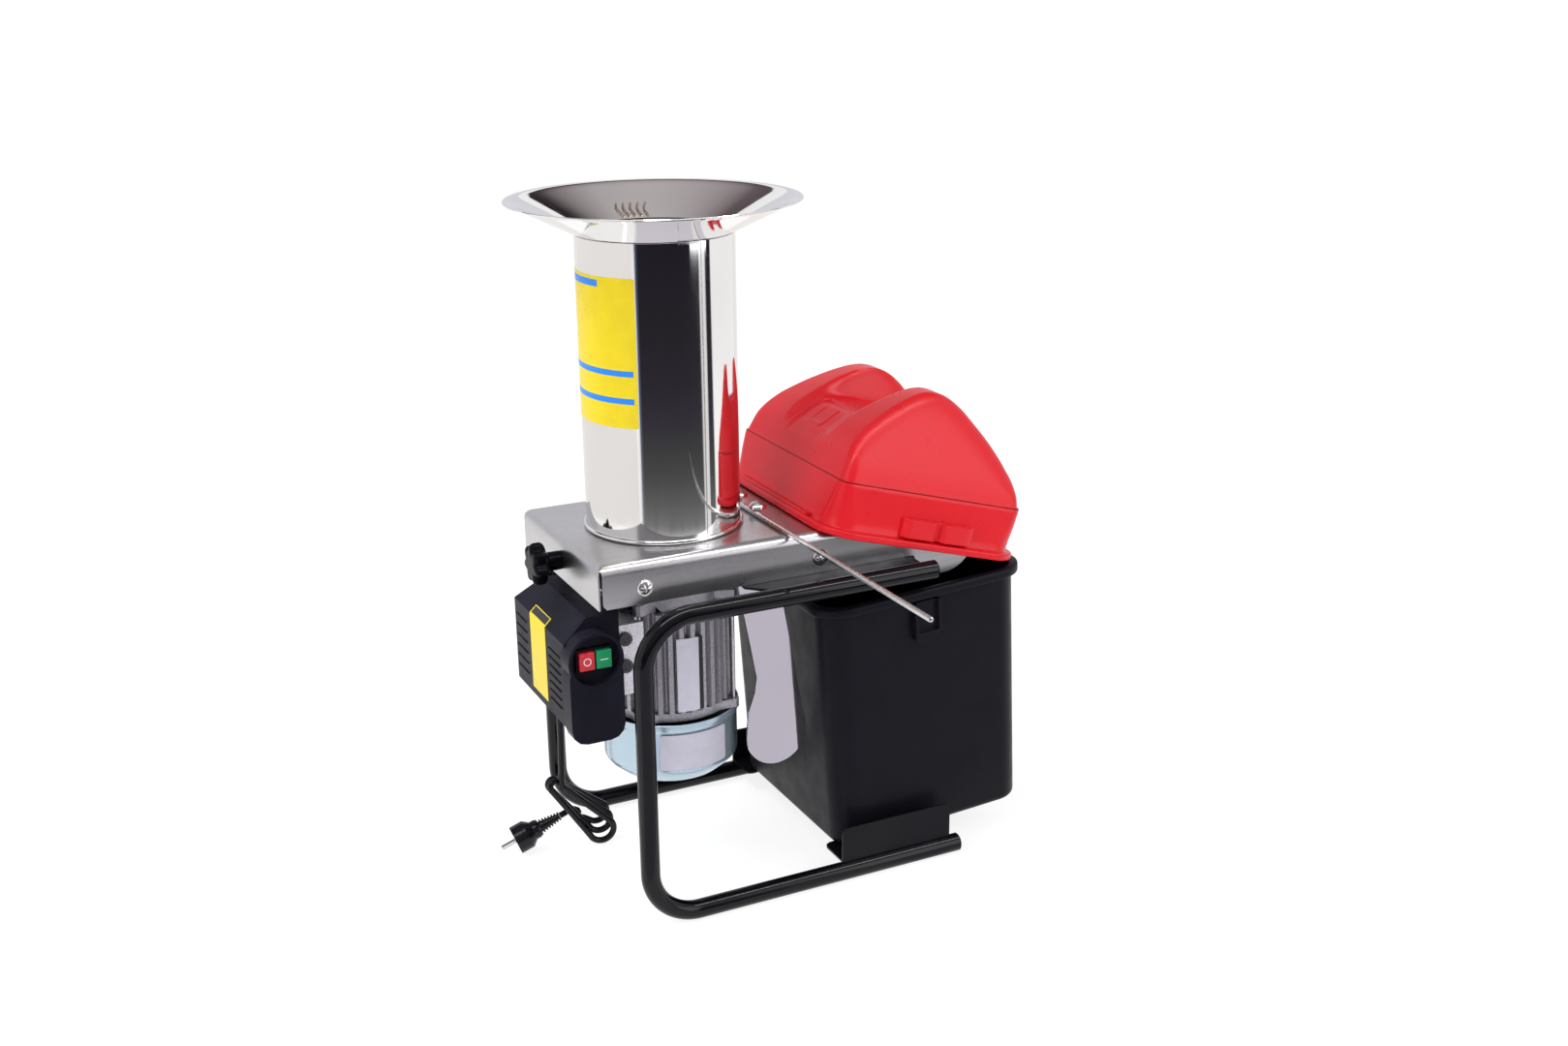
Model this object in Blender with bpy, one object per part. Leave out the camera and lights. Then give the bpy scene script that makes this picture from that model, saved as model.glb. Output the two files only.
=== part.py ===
"""Electric fruit crusher: hopper on a folded chassis, motor below, bucket and hood beside it.

Lengths are in metres. X runs from the motor to the bucket, Y from the near side to the
far side and Z up. Shapes are written in machine coordinates, whose Z axis is the motor's
shaft and whose zero height is the ground; at the end the whole machine is moved so that
the origin is the middle of its footprint.
"""
from math import acos, asin, atan2, cos, hypot, pi, radians, sin, sqrt, tan

import bmesh
import bpy
from mathutils import Matrix, Vector

# Clearances
GAP = 0.0003
RUNNING_GAP = 0.0012
TINY = 1e-7

# Frame tubes
TUBE_D = 0.0224
TUBE_WALL = 0.002
TUBE_SIDES = 12
TRACK_OUT = 0.0325
LEG_X = -0.094
BEND_R = 0.060
BEND_STEPS = 5
UPPER_LEG_Z = 0.378
UPPER_LEG_PAST_RAIL = 0.0128
LOWER_LEG_END = 0.3148
CAP_HEAD_T = 0.0022
CAP_PLUG_L = 0.014

# Bucket brackets
BRACKET_T = 0.0025
BRACKET_X = 0.154
BRACKET_L = 0.150
BRACKET_H = 0.045
BRACKET_CORNER = 0.008
SHELF_REACH = 0.048

# Mounting rails
RAIL_T = 0.003
RAIL_X = 0.044
RAIL_L = 0.219
RAIL_WALL_X = -0.100
RAIL_WALL_H = 0.034
RAIL_CHAMFER = 0.020
RAIL_RISE = 0.0082

# Chassis
SHEET = 0.0015
CHASSIS_LEFT = -0.130
CHASSIS_RIGHT = 0.254
CHASSIS_HALF = 0.1245
CHASSIS_H = 0.0488
CHASSIS_BEND = 0.011
SLIT_W = 0.0016
SLIT_H = 0.034
FLOOR_T = 0.002
FLOOR_X = -0.105

# Side bolts
BOLT_XS = (-0.0755, 0.142)
BOLT_RISE = 0.0185
BOLT_D = 0.008
BOLT_HEAD_D = 0.0195
BOLT_HEAD_H = 0.0055
NUT_AF = 0.013
NUT_H = 0.0065

# Hopper
HOPPER_D = 0.180
HOPPER_WALL = 0.0015
HOPPER_H = 0.3395
SPIGOT_L = 0.014
RIM_H = 0.0371
RIM_R = 0.1665
LIP_W = 0.0095
LIP_DROP = 0.0022
FOOT_H = 0.0055
HOPPER_SIDES = 48

# Crushing chamber
CHAMBER_CLEAR = 0.002
OUTLET_HALF = 0.062
DISC_CLEAR = 0.008
DISC_T = 0.003
DISC_LIFT = 0.006
KNIFE_COUNT = 4
KNIFE_IN = 0.030
KNIFE_EDGE = 0.008
KNIFE_H = 0.014
KNIFE_T = 0.003

# Outlet chute
CHUTE_R = 0.044
CHUTE_AXIS_X = 0.308
CHUTE_AXIS_Z = 0.402
CHUTE_LIP = 0.018
CHUTE_TURN = radians(-30)

# Tongue plate, as X and Z of its outline below the chassis
TONGUE_Y = -0.075
TONGUE_T = 0.003
TONGUE_OUTLINE = ((0.0560, 0.386), (0.0666, 0.328), (0.0747, 0.286), (0.0815, 0.248), (0.0788, 0.229),
                  (0.0700, 0.204))
TONGUE_BALL_X = 0.1070
TONGUE_BALL_Z = 0.1705
TONGUE_BALL_R = 0.0395
TONGUE_TOP_X = 0.1085

# Motor
MOTOR_TOP_GAP = 0.0003
BELL_H = 0.040
BELL_IN = 0.004
HOUSING_H = 0.125
FIN_R = 0.078
FIN_DEEP = 0.0075
FIN_COUNT = 36
HOUSING_BORE = 0.060
LOWER_BELL_H = 0.011
COVER_OUT = 0.0045
COVER_H = 0.082
COVER_T = 0.0012
COVER_BAND_H = 0.010
COVER_CHAMFER = 0.019
TIE_OUT = 0.0055
TIE_D = 0.0045
TIE_LUG_R = 0.0065
TIE_LUG_H = 0.014
TIE_HEAD_H = 0.004
TIE_ANGLES = (45, 135, 225, 315)
SHAFT_R = 0.0095
BEARING_R = 0.0235
BEARING_W = 0.014
STATOR_R_IN = 0.0395
STATOR_H = 0.080
ROTOR_R = 0.0385
FAN_CLEAR = 0.0145
FAN_H = 0.024
FAN_BLADES = 8
PAD_X = -0.0925
PAD_DEPTH = 0.034
PAD_HALF = 0.072
PAD_LOW = 0.258
PAD_H = 0.094
PAD_PLUG_R = 0.0078
PAD_PLUG_H = 0.0035
PAD_PLUG_ZS = (0.327, 0.294)

# Switch box
BOX_DEPTH = 0.065
BOX_BACK = 0.0945
BOX_NEAR = -0.084
BOX_FAR = 0.088
BOX_LOW = 0.236
BOX_TOP = 0.366
BOX_CHAMFER = 0.012
BOX_SHOULDER = 0.016
BOX_FAR_CUT = 0.025
BOX_WALL = 0.0025
HEAD_NEAR = -0.105
HEAD_R = 0.033
HEAD_X = -0.1290
HEAD_Z = 0.3210
HEAD_LOW = 0.222
HEAD_WIDTH = 0.064
HEAD_ROUND = 0.018
RECESS_R = 0.0295
RECESS_DEPTH = 0.011
BUTTON_W = 0.0180
BUTTON_H = 0.0215
BUTTON_PITCH = 0.0200
BUTTON_PROUD = 0.0055
BUTTON_TRAVEL = 0.003
SWITCH_W = 0.043
SWITCH_H = 0.027
SWITCH_DEPTH = 0.026
SLOT_COUNTS = ((6, 0.065, 0.0130), (7, -0.050, 0.0103))
SLOT_LOW = 0.2545
SLOT_L = 0.040
SLOT_T = 0.0022
SLOT_DEEP = 0.0012

# Star knob
KNOB_R = 0.025
KNOB_LOBES = 7
KNOB_LOBE = 0.0032
KNOB_T = 0.019
KNOB_HUB_R = 0.011
KNOB_HUB_L = 0.017
KNOB_RISE = 0.0215
STEM_D = 0.008

# Rod and its studs
ROD_R = 0.003
ROD_OUT = 0.012
ROD_INNER_Y = 0.060
ROD_OUTER_Y = -0.428
ROD_YAW = radians(0.85)
STUD_Y = 0.026
STUD_SHANK_R = 0.0035
STUD_HEAD_R = 0.0110
STUD_HEAD_H = 0.0080
STUD_CLEAR = 0.0006

# Bucket, in its own axes: along, across, up
BUCKET_X = 0.162
BUCKET_LEAN = radians(3.3)
BUCKET_L = 0.262
BUCKET_OUT = 0.0145
BUCKET_DROP = 0.060
BUCKET_WALL = 0.003
BUCKET_CORNER = 0.030
BUCKET_FLARE = 0.0035
BUCKET_FOOT = 0.006
RIM_OUT = 0.008
RIM_SKIRT = 0.011
LUG_ALONG = 0.110
LUG_W = 0.036
LUG_HEIGHT = 0.050
LUG_PROUD = 0.009
LUG_DROP = 0.004

# Hood, in its own axes: along the slope, across, square to the slope
HOOD_X = 0.138
HOOD_SEAT = 0.0017
HOOD_L = 0.280
HOOD_OUT = 0.001
HOOD_CORNER = 0.042
HOOD_FLANGE_T = 0.009
HOOD_OVERHANG = 0.009
HOOD_WALL_H = 0.055
HOOD_DRAFT = 0.003
HOOD_STEP = 0.0015
HOOD_SKIN = 0.0024
HUMP_LINE = ((0.0, 0.0), (0.007, 0.035), (0.019, 0.051), (0.042, 0.073), (0.065, 0.090), (0.090, 0.105),
             (0.104, 0.111), (0.118, 0.114), (0.137, 0.112), (0.159, 0.102), (0.176, 0.090), (0.205, 0.067),
             (0.226, 0.046), (0.244, 0.022), (0.252, 0.0))
SADDLE_LINE = ((0.0, 0.0), (0.007, 0.030), (0.042, 0.067), (0.058, 0.069), (0.168, 0.069), (0.192, 0.061),
               (0.226, 0.042), (0.243, 0.022), (0.252, 0.0))
VALLEY_HALF = 0.040
HUMP_INNER = 0.058
FACE_SLOPE = 2.8
FOOT_SLOPE = 5.0
CREST_ROUND = 0.012
HOOD_INSETS = (0.0, 0.004, 0.010, 0.018, 0.028, 0.036, 0.044, 0.060, 0.076, 0.094)
CLIP_ALONG = 0.100
CLIP_L = 0.099
CLIP_LOW = 0.012
CLIP_HEIGHT = 0.022
CLIP_PROUD = 0.008

# Cord and plug
CORD_D = 0.008
GLAND_X = -0.116
GLAND_Y = 0.072
GLAND_R = 0.009
GLAND_L = 0.014
HANK_TIP = (-0.1275, 0.0737, 0.0878)
HANK_ALONG = (0.624, -0.045, -0.780)
HANK_ACROSS = (0.782, 0.016, 0.624)
HANK_SPAN = 0.089
HANK_BIG_R = 0.017
HANK_SMALL_R = 0.0066
HANK_TURNS = 2.5
HANK_PITCH = 0.0088
HANK_SHRINK = 0.07
HANK_SWING = radians(4.1)
HANK_EASE = 0.33
LOOP_STEPS = 24
CORD_STEP = 0.014
DROP_ROUTE = ((-0.1162, 0.0715, 0.190), (-0.1175, 0.0690, 0.150), (-0.1195, 0.0655, 0.115))
LEAD_ROUTE = ((-0.0935, 0.0858, 0.0395), (-0.1000, 0.0863, 0.0430), (-0.1065, 0.0855, 0.0445))
PLUG_START = (-0.1200, 0.0825)
PLUG_YAW = radians(175)
PLUG_DIP = radians(21.8)
PLUG_ROLL = radians(35)
RELIEF_L = 0.0275
RELIEF_R = 0.0078
RELIEF_RIBS = 7
PLUG_R = 0.0182
PLUG_L = 0.034
PLUG_GRIP_R = 0.0120
PLUG_FACE_L = 0.017
PIN_R = 0.0024
PIN_L = 0.019
PIN_PITCH = 0.019
EARTH_NOTCH = 0.006

# Heights and radii that follow
TUBE_R = TUBE_D / 2
HALF_TRACK = CHASSIS_HALF + TRACK_OUT
UPPER_LEG_END = RAIL_X + RAIL_L + UPPER_LEG_PAST_RAIL
LOWER_LEG_Z = TUBE_R * cos(pi / TUBE_SIDES)
SHELF_Z = LOWER_LEG_Z + TUBE_R + GAP
RAIL_TOP = UPPER_LEG_Z + RAIL_RISE
CHASSIS_BOTTOM = RAIL_TOP + GAP
CHASSIS_TOP = CHASSIS_BOTTOM + CHASSIS_H
FLOOR_TOP = CHASSIS_BOTTOM + FLOOR_T
HOPPER_R = HOPPER_D / 2
CHAMBER_R = HOPPER_R + CHAMBER_CLEAR
FOOT_W = CHAMBER_CLEAR + SHEET - GAP
DISC_R = CHAMBER_R - DISC_CLEAR
KNIFE_L = DISC_R - KNIFE_EDGE - KNIFE_IN
HOPPER_TOP = CHASSIS_TOP + HOPPER_H
BOLT_Z = CHASSIS_BOTTOM + BOLT_RISE
KNOB_Z = CHASSIS_BOTTOM + KNOB_RISE
BELL_TOP = CHASSIS_BOTTOM - MOTOR_TOP_GAP
HOUSING_TOP = BELL_TOP - BELL_H
HOUSING_LOW = HOUSING_TOP - HOUSING_H
LOWER_BELL_LOW = HOUSING_LOW - GAP - LOWER_BELL_H
COVER_TOP = LOWER_BELL_LOW - GAP
COVER_LOW = COVER_TOP - COVER_H
BELL_R = FIN_R - BELL_IN
FIN_ROOT_R = FIN_R - FIN_DEEP
TIE_R = FIN_R + TIE_OUT
COVER_R = FIN_R + COVER_OUT
FAN_R = COVER_R - FAN_CLEAR
DISC_Z = FLOOR_TOP + DISC_LIFT
ROD_X = HOPPER_R + ROD_OUT
ROD_Z = CHASSIS_TOP + ROD_R + GAP
STUD_X = ROD_X + ROD_R + STUD_SHANK_R + STUD_CLEAR + STUD_Y * tan(ROD_YAW)
RAIL_WALL_Y = CHASSIS_HALF - SHEET - GAP
BUCKET_Z = SHELF_Z + BRACKET_T + (BUCKET_X - BRACKET_X) * tan(BUCKET_LEAN) + GAP
BUCKET_HALF = CHASSIS_HALF + BUCKET_OUT
BUCKET_H = UPPER_LEG_Z - BUCKET_DROP
HOOD_HALF = BUCKET_HALF + RIM_OUT + HOOD_OUT
HOOD_Z = CHASSIS_TOP + HOOD_SEAT
HOOD_FALL = HOOD_Z - BUCKET_Z - BUCKET_H / cos(BUCKET_LEAN) - (HOOD_X - BUCKET_X) * tan(BUCKET_LEAN) - 2 * GAP
HOOD_PITCH = asin(HOOD_FALL * cos(BUCKET_LEAN) / HOOD_L) - BUCKET_LEAN
PARTING = HOOD_WALL_H + HOOD_FLANGE_T
HOOD_TOP_INSET = HOOD_OVERHANG + HOOD_DRAFT + HOOD_STEP


# Scene and materials

def clear_scene():
    """Remove every object of the open scene."""
    for thing in list(bpy.data.objects):
        bpy.data.objects.remove(thing, do_unlink=True)


def finish(name, colour, roughness, metallic=0.0):
    """A Principled material with one colour, roughness and metallic value."""
    made = bpy.data.materials.new(name)
    made.use_nodes = True
    shader = made.node_tree.nodes["Principled BSDF"]
    shader.inputs["Base Color"].default_value = (*colour, 1.0)
    shader.inputs["Roughness"].default_value = roughness
    shader.inputs["Metallic"].default_value = metallic
    made.diffuse_color = (*colour, 1.0)
    return made


def carrier(name, place, turn_y=0.0):
    """An empty on a joint's axis, which carries the pieces that move there."""
    empty = bpy.data.objects.new(name, None)
    bpy.context.scene.collection.objects.link(empty)
    empty.location = place
    empty.rotation_euler = (0.0, turn_y, 0.0)
    empty.parent = bpy.data.objects.get("machine")
    return empty


def publish(name, bm, material, under=None, local=False, smooth=32):
    """Turn a mesh into a named object, with its origin on its carrier's axis."""
    if under is not None and not local:
        bmesh.ops.translate(bm, vec=-Vector(under.location), verts=bm.verts)
    bmesh.ops.recalc_face_normals(bm, faces=bm.faces)
    mesh = bpy.data.meshes.new(name)
    bm.to_mesh(mesh)
    bm.free()
    mesh.shade_smooth()
    mesh.set_sharp_from_angle(angle=radians(smooth))
    mesh.materials.append(material)
    made = bpy.data.objects.new(name, mesh)
    bpy.context.scene.collection.objects.link(made)
    made.parent = under or bpy.data.objects["machine"]
    return made


def boolean(target, bm, operation="DIFFERENCE", under=None, local=False):
    """Cut a shape out of an object, or join it to the object, with a hidden helper."""
    label = f"{target.name}_{operation.lower()}_{len(target.modifiers)}"
    helper = publish(label, bm, target.data.materials[0], under, local)
    helper.hide_render = True
    helper.display_type = "WIRE"
    step = target.modifiers.new(label, "BOOLEAN")
    step.operation = operation
    step.object = helper
    step.solver = "EXACT"
    return target


# Shape helpers

def span(count, start=0.0, turn=2 * pi):
    """Equally spaced angles, without the last one of a full turn."""
    return [start + turn * i / count for i in range(count)]


def bridge(bm, first, second):
    """Skin two rings of points, either of which may be a single point."""
    count = max(len(first), len(second))
    for i in range(count):
        j = (i + 1) % count
        corners = []
        if len(first) > 1:
            corners += [first[i], first[j]]
        else:
            corners.append(first[0])
        if len(second) > 1:
            corners += [second[j], second[i]]
        else:
            corners.append(second[0])
        if len(corners) > 2:
            bm.faces.new(corners)


def turned(bm, profile, sides, place=Matrix()):
    """A solid of revolution about Z from radius and height pairs."""
    rings = []
    for radius, height in profile:
        angles = span(sides) if radius > TINY else [0.0]
        ring = [Vector((radius * cos(a), radius * sin(a), height)) for a in angles]
        rings.append([bm.verts.new(place @ point) for point in ring])
    for first, second in zip(rings, rings[1:]):
        bridge(bm, first, second)
    if profile[0][0] > TINY:
        bridge(bm, rings[-1], rings[0])


def loft(bm, rings, place=Matrix(), closed=False):
    """Skin a row of equal rings, capped at both ends unless the row is closed."""
    loops = [[bm.verts.new(place @ Vector(point)) for point in ring] for ring in rings]
    for first, second in zip(loops, loops[1:]):
        bridge(bm, first, second)
    if closed:
        bridge(bm, loops[-1], loops[0])
    else:
        for end in (loops[0], loops[-1]):
            if len(end) > 2:
                bm.faces.new(end)


def plate(bm, outline, low, high, holes=(), place=Matrix()):
    """A flat plate between two heights from an outline in X and Y, with holes."""
    flat = bmesh.new()
    edges = []
    for loop in (outline, *holes):
        points = [flat.verts.new((x, y, 0.0)) for x, y in loop]
        edges += [flat.edges.new(pair) for pair in zip(points, points[1:] + points[:1])]
    flat.verts.index_update()
    bmesh.ops.triangle_fill(flat, use_beauty=True, edges=edges, normal=(0.0, 0.0, 1.0))
    layers = [[bm.verts.new(place @ Vector((v.co.x, v.co.y, z))) for v in flat.verts] for z in (low, high)]
    for face in flat.faces:
        ids = [v.index for v in face.verts]
        bm.faces.new([layers[0][i] for i in reversed(ids)])
        bm.faces.new([layers[1][i] for i in ids])
    for edge in edges:
        a, b = (v.index for v in edge.verts)
        bm.faces.new((layers[0][a], layers[0][b], layers[1][b], layers[1][a]))
    flat.free()


def block(bm, x, y, z, place=Matrix()):
    """A box from its ranges in X, Y and Z."""
    plate(bm, [(x[0], y[0]), (x[1], y[0]), (x[1], y[1]), (x[0], y[1])], z[0], z[1], place=place)


def circle(radius, sides, centre=(0.0, 0.0), start=0.0):
    """Points of a circle, counter-clockwise."""
    return [(centre[0] + radius * cos(a), centre[1] + radius * sin(a)) for a in span(sides, start)]


def arc(centre, radius, first, last, steps):
    """Points of an arc from one angle to another, both ends included."""
    angles = [first + (last - first) * i / steps for i in range(steps + 1)]
    return [(centre[0] + radius * cos(a), centre[1] + radius * sin(a)) for a in angles]


def rounded(x, y, radius, steps=4):
    """A rectangle with round corners, counter-clockwise."""
    points = []
    corners = ((x[1], y[1], 0), (x[0], y[1], 1), (x[0], y[0], 2), (x[1], y[0], 3))
    for cx, cy, quarter in corners:
        inner = (cx + (radius if cx == x[0] else -radius), cy + (radius if cy == y[0] else -radius))
        points += arc(inner, radius, quarter * pi / 2, (quarter + 1) * pi / 2, steps)
    return points


def flipped(points):
    """The same outline mirrored in its second coordinate."""
    return [(a, -b) for a, b in reversed(points)]


def along(axis, at=(0.0, 0.0, 0.0)):
    """A placing matrix that turns Z towards an axis."""
    turn = Vector((0.0, 0.0, 1.0)).rotation_difference(Vector(axis)).to_matrix().to_4x4()
    return Matrix.Translation(at) @ turn


def hexagon(across_flats):
    """Outline of a nut from its size across flats."""
    return circle(across_flats / 2 / cos(pi / 6), 6)


def upright(y=0.0):
    """A placing matrix for outlines in X and Z, extruded along Y from the height y."""
    return Matrix(((1, 0, 0, 0), (0, 0, 1, y), (0, 1, 0, 0), (0, 0, 0, 1)))


def bevelled(bm, width, segments, chosen):
    """Round the edges of a mesh that a test picks by their two end points."""
    edges = [e for e in bm.edges if chosen(e.verts[0].co, e.verts[1].co)]
    bmesh.ops.bevel(bm, geom=edges, offset=width, segments=segments, profile=0.5, affect="EDGES",
                    clamp_overlap=True)


# Frame

def frame_path():
    """Centre line of a frame tube in X and Z, from its upper end to its lower end."""
    top = (LEG_X + BEND_R, UPPER_LEG_Z - BEND_R)
    low = (LEG_X + BEND_R, LOWER_LEG_Z + BEND_R)
    points = [(UPPER_LEG_END, UPPER_LEG_Z)]
    points += arc(top, BEND_R, pi / 2, pi, BEND_STEPS)
    points += arc(low, BEND_R, pi, 3 * pi / 2, BEND_STEPS)
    return points + [(LOWER_LEG_END, LOWER_LEG_Z)]


def frame_tube(name, side, material):
    """One C-shaped tube, open at both ends, with a flat facet below its lower leg."""
    path = [Vector((x, 0.0, z)) for x, z in frame_path()]
    rings = {TUBE_R: [], TUBE_R - TUBE_WALL: []}
    for i, point in enumerate(path):
        before = (point - path[i - 1]).normalized() if i else Vector((-1.0, 0.0, 0.0))
        after = (path[i + 1] - point).normalized() if i + 1 < len(path) else Vector((1.0, 0.0, 0.0))
        heading = (before + after).normalized()
        sideways = Vector((0.0, 1.0, 0.0))
        outward = heading.cross(sideways)
        stretch = 1 / max(heading.dot(after), 0.5)
        for radius, loops in rings.items():
            turns = span(TUBE_SIDES, pi / TUBE_SIDES)
            loops.append([point + sideways * radius * sin(a) + outward * radius * cos(a) * stretch for a in turns])
    bm = bmesh.new()
    outer, inner = rings.values()
    loft(bm, outer + inner[::-1], Matrix.Translation((0.0, side * HALF_TRACK, 0.0)), closed=True)
    return publish(name, bm, material)


def frame_cap(name, side, x, z, material):
    """Plastic cap in an open tube end, with its flats in line with the tube's."""
    bm = bmesh.new()
    plug = TUBE_R - TUBE_WALL - GAP
    head = [(0.0, CAP_HEAD_T + GAP), (TUBE_R * 0.7, CAP_HEAD_T + GAP), (TUBE_R, CAP_HEAD_T * 0.5 + GAP), (TUBE_R, GAP)]
    profile = head + [(plug, GAP), (plug, -CAP_PLUG_L), (0.0, -CAP_PLUG_L)]
    flats = Matrix.Rotation(pi / TUBE_SIDES, 4, "Z")
    turned(bm, profile, TUBE_SIDES, along((1, 0, 0), (x, side * HALF_TRACK, z)) @ flats)
    return publish(name, bm, material)


def bracket(name, side, material):
    """Upright plate on the lower leg with a shelf under the bucket, which leans as the bucket does."""
    bm = bmesh.new()
    top = SHELF_Z + BRACKET_H
    corner = BRACKET_CORNER
    right = BRACKET_X + BRACKET_L
    outline = [(BRACKET_X, SHELF_Z), (right, SHELF_Z)]
    outline += arc((right - corner, top - corner), corner, 0.0, pi / 2, 3)
    outline += arc((BRACKET_X + corner, top - corner), corner, pi / 2, pi, 3)
    plate(bm, outline, -BRACKET_T / 2, BRACKET_T / 2, place=upright(side * HALF_TRACK))
    made = publish(name, bm, material)
    shelf = bmesh.new()
    rise = BRACKET_L * tan(BUCKET_LEAN)
    profile = [(BRACKET_X, SHELF_Z), (right, SHELF_Z + rise), (right, SHELF_Z + rise + BRACKET_T),
               (BRACKET_X, SHELF_Z + BRACKET_T)]
    inner = side * (HALF_TRACK - SHELF_REACH)
    reach = sorted((inner, side * HALF_TRACK))
    plate(shelf, profile, reach[0], reach[1], place=upright())
    near_end = lambda a, b: abs(a.y - inner) < TINY and abs(b.y - inner) < TINY and abs(a.x - b.x) < TINY
    bevelled(shelf, corner, 2, near_end)
    return boolean(made, shelf, "UNION")


def rail(name, side, material):
    """Rail between an upper leg and the chassis, with a wall inside the chassis for the side bolts."""
    bm = bmesh.new()
    right = RAIL_X + RAIL_L
    top = RAIL_TOP - RAIL_T + RAIL_WALL_H
    wall = sorted((side * (RAIL_WALL_Y - RAIL_T), side * RAIL_WALL_Y))
    low = RAIL_TOP - RAIL_T
    end = CHASSIS_RIGHT - RAIL_T
    outline = [(RAIL_WALL_X, CHASSIS_BOTTOM), (RAIL_X, CHASSIS_BOTTOM), (RAIL_X, low), (right, low),
               (right, RAIL_TOP), (end, RAIL_TOP), (end, top), (RAIL_WALL_X, top)]
    plate(bm, outline, wall[0], wall[1], place=upright())
    made = publish(name, bm, material)
    shelf = bmesh.new()
    outer = HALF_TRACK - sqrt(TUBE_R ** 2 - (RAIL_RISE - RAIL_T) ** 2) - GAP
    inner = RAIL_WALL_Y - RAIL_T / 2
    flat = [(RAIL_X, inner), (right, inner), (right, outer), (RAIL_X + RAIL_CHAMFER, outer),
            (RAIL_X, outer - RAIL_CHAMFER)]
    plate(shelf, flat if side > 0 else flipped(flat), low, RAIL_TOP)
    boolean(made, shelf, "UNION")
    nuts = bmesh.new()
    face = RAIL_WALL_Y - RAIL_T
    for x in BOLT_XS:
        plate(nuts, hexagon(NUT_AF), -NUT_H, RAIL_T / 2, place=along((0, side, 0), (x, side * face, BOLT_Z)))
    boolean(made, nuts, "UNION")
    return boolean(made, bolt_holes())


# Chassis

def bolt_holes():
    """Drills through both chassis walls and both rails at the side bolts."""
    bm = bmesh.new()
    reach = CHASSIS_HALF + SHEET
    for x in BOLT_XS:
        profile = [(0.0, -reach), (BOLT_D / 2 + GAP, -reach), (BOLT_D / 2 + GAP, reach), (0.0, reach)]
        turned(bm, profile[::-1], 12, along((0, 1, 0), (x, 0.0, BOLT_Z)))
    return bm


def folded_box(left, right, half, low, top, bend):
    """A box whose top edges and left end are bent round."""
    bm = bmesh.new()
    block(bm, (left, right), (-half, half), (low, top))
    bmesh.ops.dissolve_limit(bm, angle_limit=radians(1), verts=bm.verts, edges=bm.edges)

    def is_bend(a, b):
        high = a.z > top - TINY and b.z > top - TINY
        return high and (abs(a.y - b.y) < TINY or max(a.x, b.x) < left + TINY)

    bevelled(bm, bend, 3, is_bend)
    return bm


def chassis(material):
    """Folded tray, open below and to the right, with the knob's nut welded behind its left flange."""
    shell = folded_box(CHASSIS_LEFT, CHASSIS_RIGHT, CHASSIS_HALF, CHASSIS_BOTTOM, CHASSIS_TOP, CHASSIS_BEND)
    made = publish("chassis", shell, material)
    room = folded_box(CHASSIS_LEFT + SHEET, CHASSIS_RIGHT + SHEET, CHASSIS_HALF - SHEET,
                      CHASSIS_BOTTOM - SHEET, CHASSIS_TOP - SHEET, CHASSIS_BEND - SHEET)
    boolean(made, room)
    mouth = bmesh.new()
    radius = HOPPER_R + GAP
    turned(mouth, [(0.0, CHASSIS_TOP + SHEET), (radius, CHASSIS_TOP + SHEET), (radius, CHASSIS_TOP - 2 * SHEET),
                   (0.0, CHASSIS_TOP - 2 * SHEET)], HOPPER_SIDES)
    boolean(made, mouth)
    boolean(made, bolt_holes())
    slits = bmesh.new()
    for side in (-1, 1):
        across = sorted((side * (CHASSIS_HALF - CHASSIS_BEND), side * (CHASSIS_HALF + SHEET)))
        block(slits, (CHASSIS_LEFT + SHEET + GAP, CHASSIS_LEFT + SHEET + GAP + SLIT_W), across,
              (CHASSIS_BOTTOM - SHEET, CHASSIS_BOTTOM + SLIT_H))
    boolean(made, slits)
    hole = bmesh.new()
    reach = STEM_D / 2 + GAP
    turned(hole, [(0.0, NUT_H + SHEET), (reach, NUT_H + SHEET), (reach, -SHEET), (0.0, -SHEET)], 12,
           along((1, 0, 0), (CHASSIS_LEFT, 0.0, KNOB_Z)))
    nut = bmesh.new()
    seat = along((1, 0, 0), (CHASSIS_LEFT + SHEET / 2, 0.0, KNOB_Z))
    plate(nut, hexagon(NUT_AF), 0.0, NUT_H, place=seat)
    boolean(made, nut, "UNION")
    return boolean(made, hole)


def chamber_floor(material):
    """Plate under the knife disc, between the rails and over the motor."""
    bm = bmesh.new()
    half = RAIL_WALL_Y - RAIL_T - GAP
    outline = rounded((FLOOR_X, CHASSIS_RIGHT), (-half, half), 0.006, 2)
    plate(bm, outline, CHASSIS_BOTTOM, FLOOR_TOP, [circle(SHAFT_R + RUNNING_GAP, 16)])
    return publish("chamber_floor", bm, material)


def chamber_ring(material):
    """Round wall of the crushing chamber with its outlet towards the chute."""
    bm = bmesh.new()
    top = CHASSIS_TOP - SHEET - GAP
    low = FLOOR_TOP + GAP
    turned(bm, [(CHAMBER_R, low), (CHAMBER_R + SHEET, low), (CHAMBER_R + SHEET, top), (CHAMBER_R, top)], HOPPER_SIDES)
    made = publish("chamber_ring", bm, material)
    window = bmesh.new()
    block(window, (CHAMBER_R / 2, CHAMBER_R * 1.2), (-OUTLET_HALF, OUTLET_HALF), (low - SHEET, top - 4 * SHEET))
    return boolean(made, window)


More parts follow.
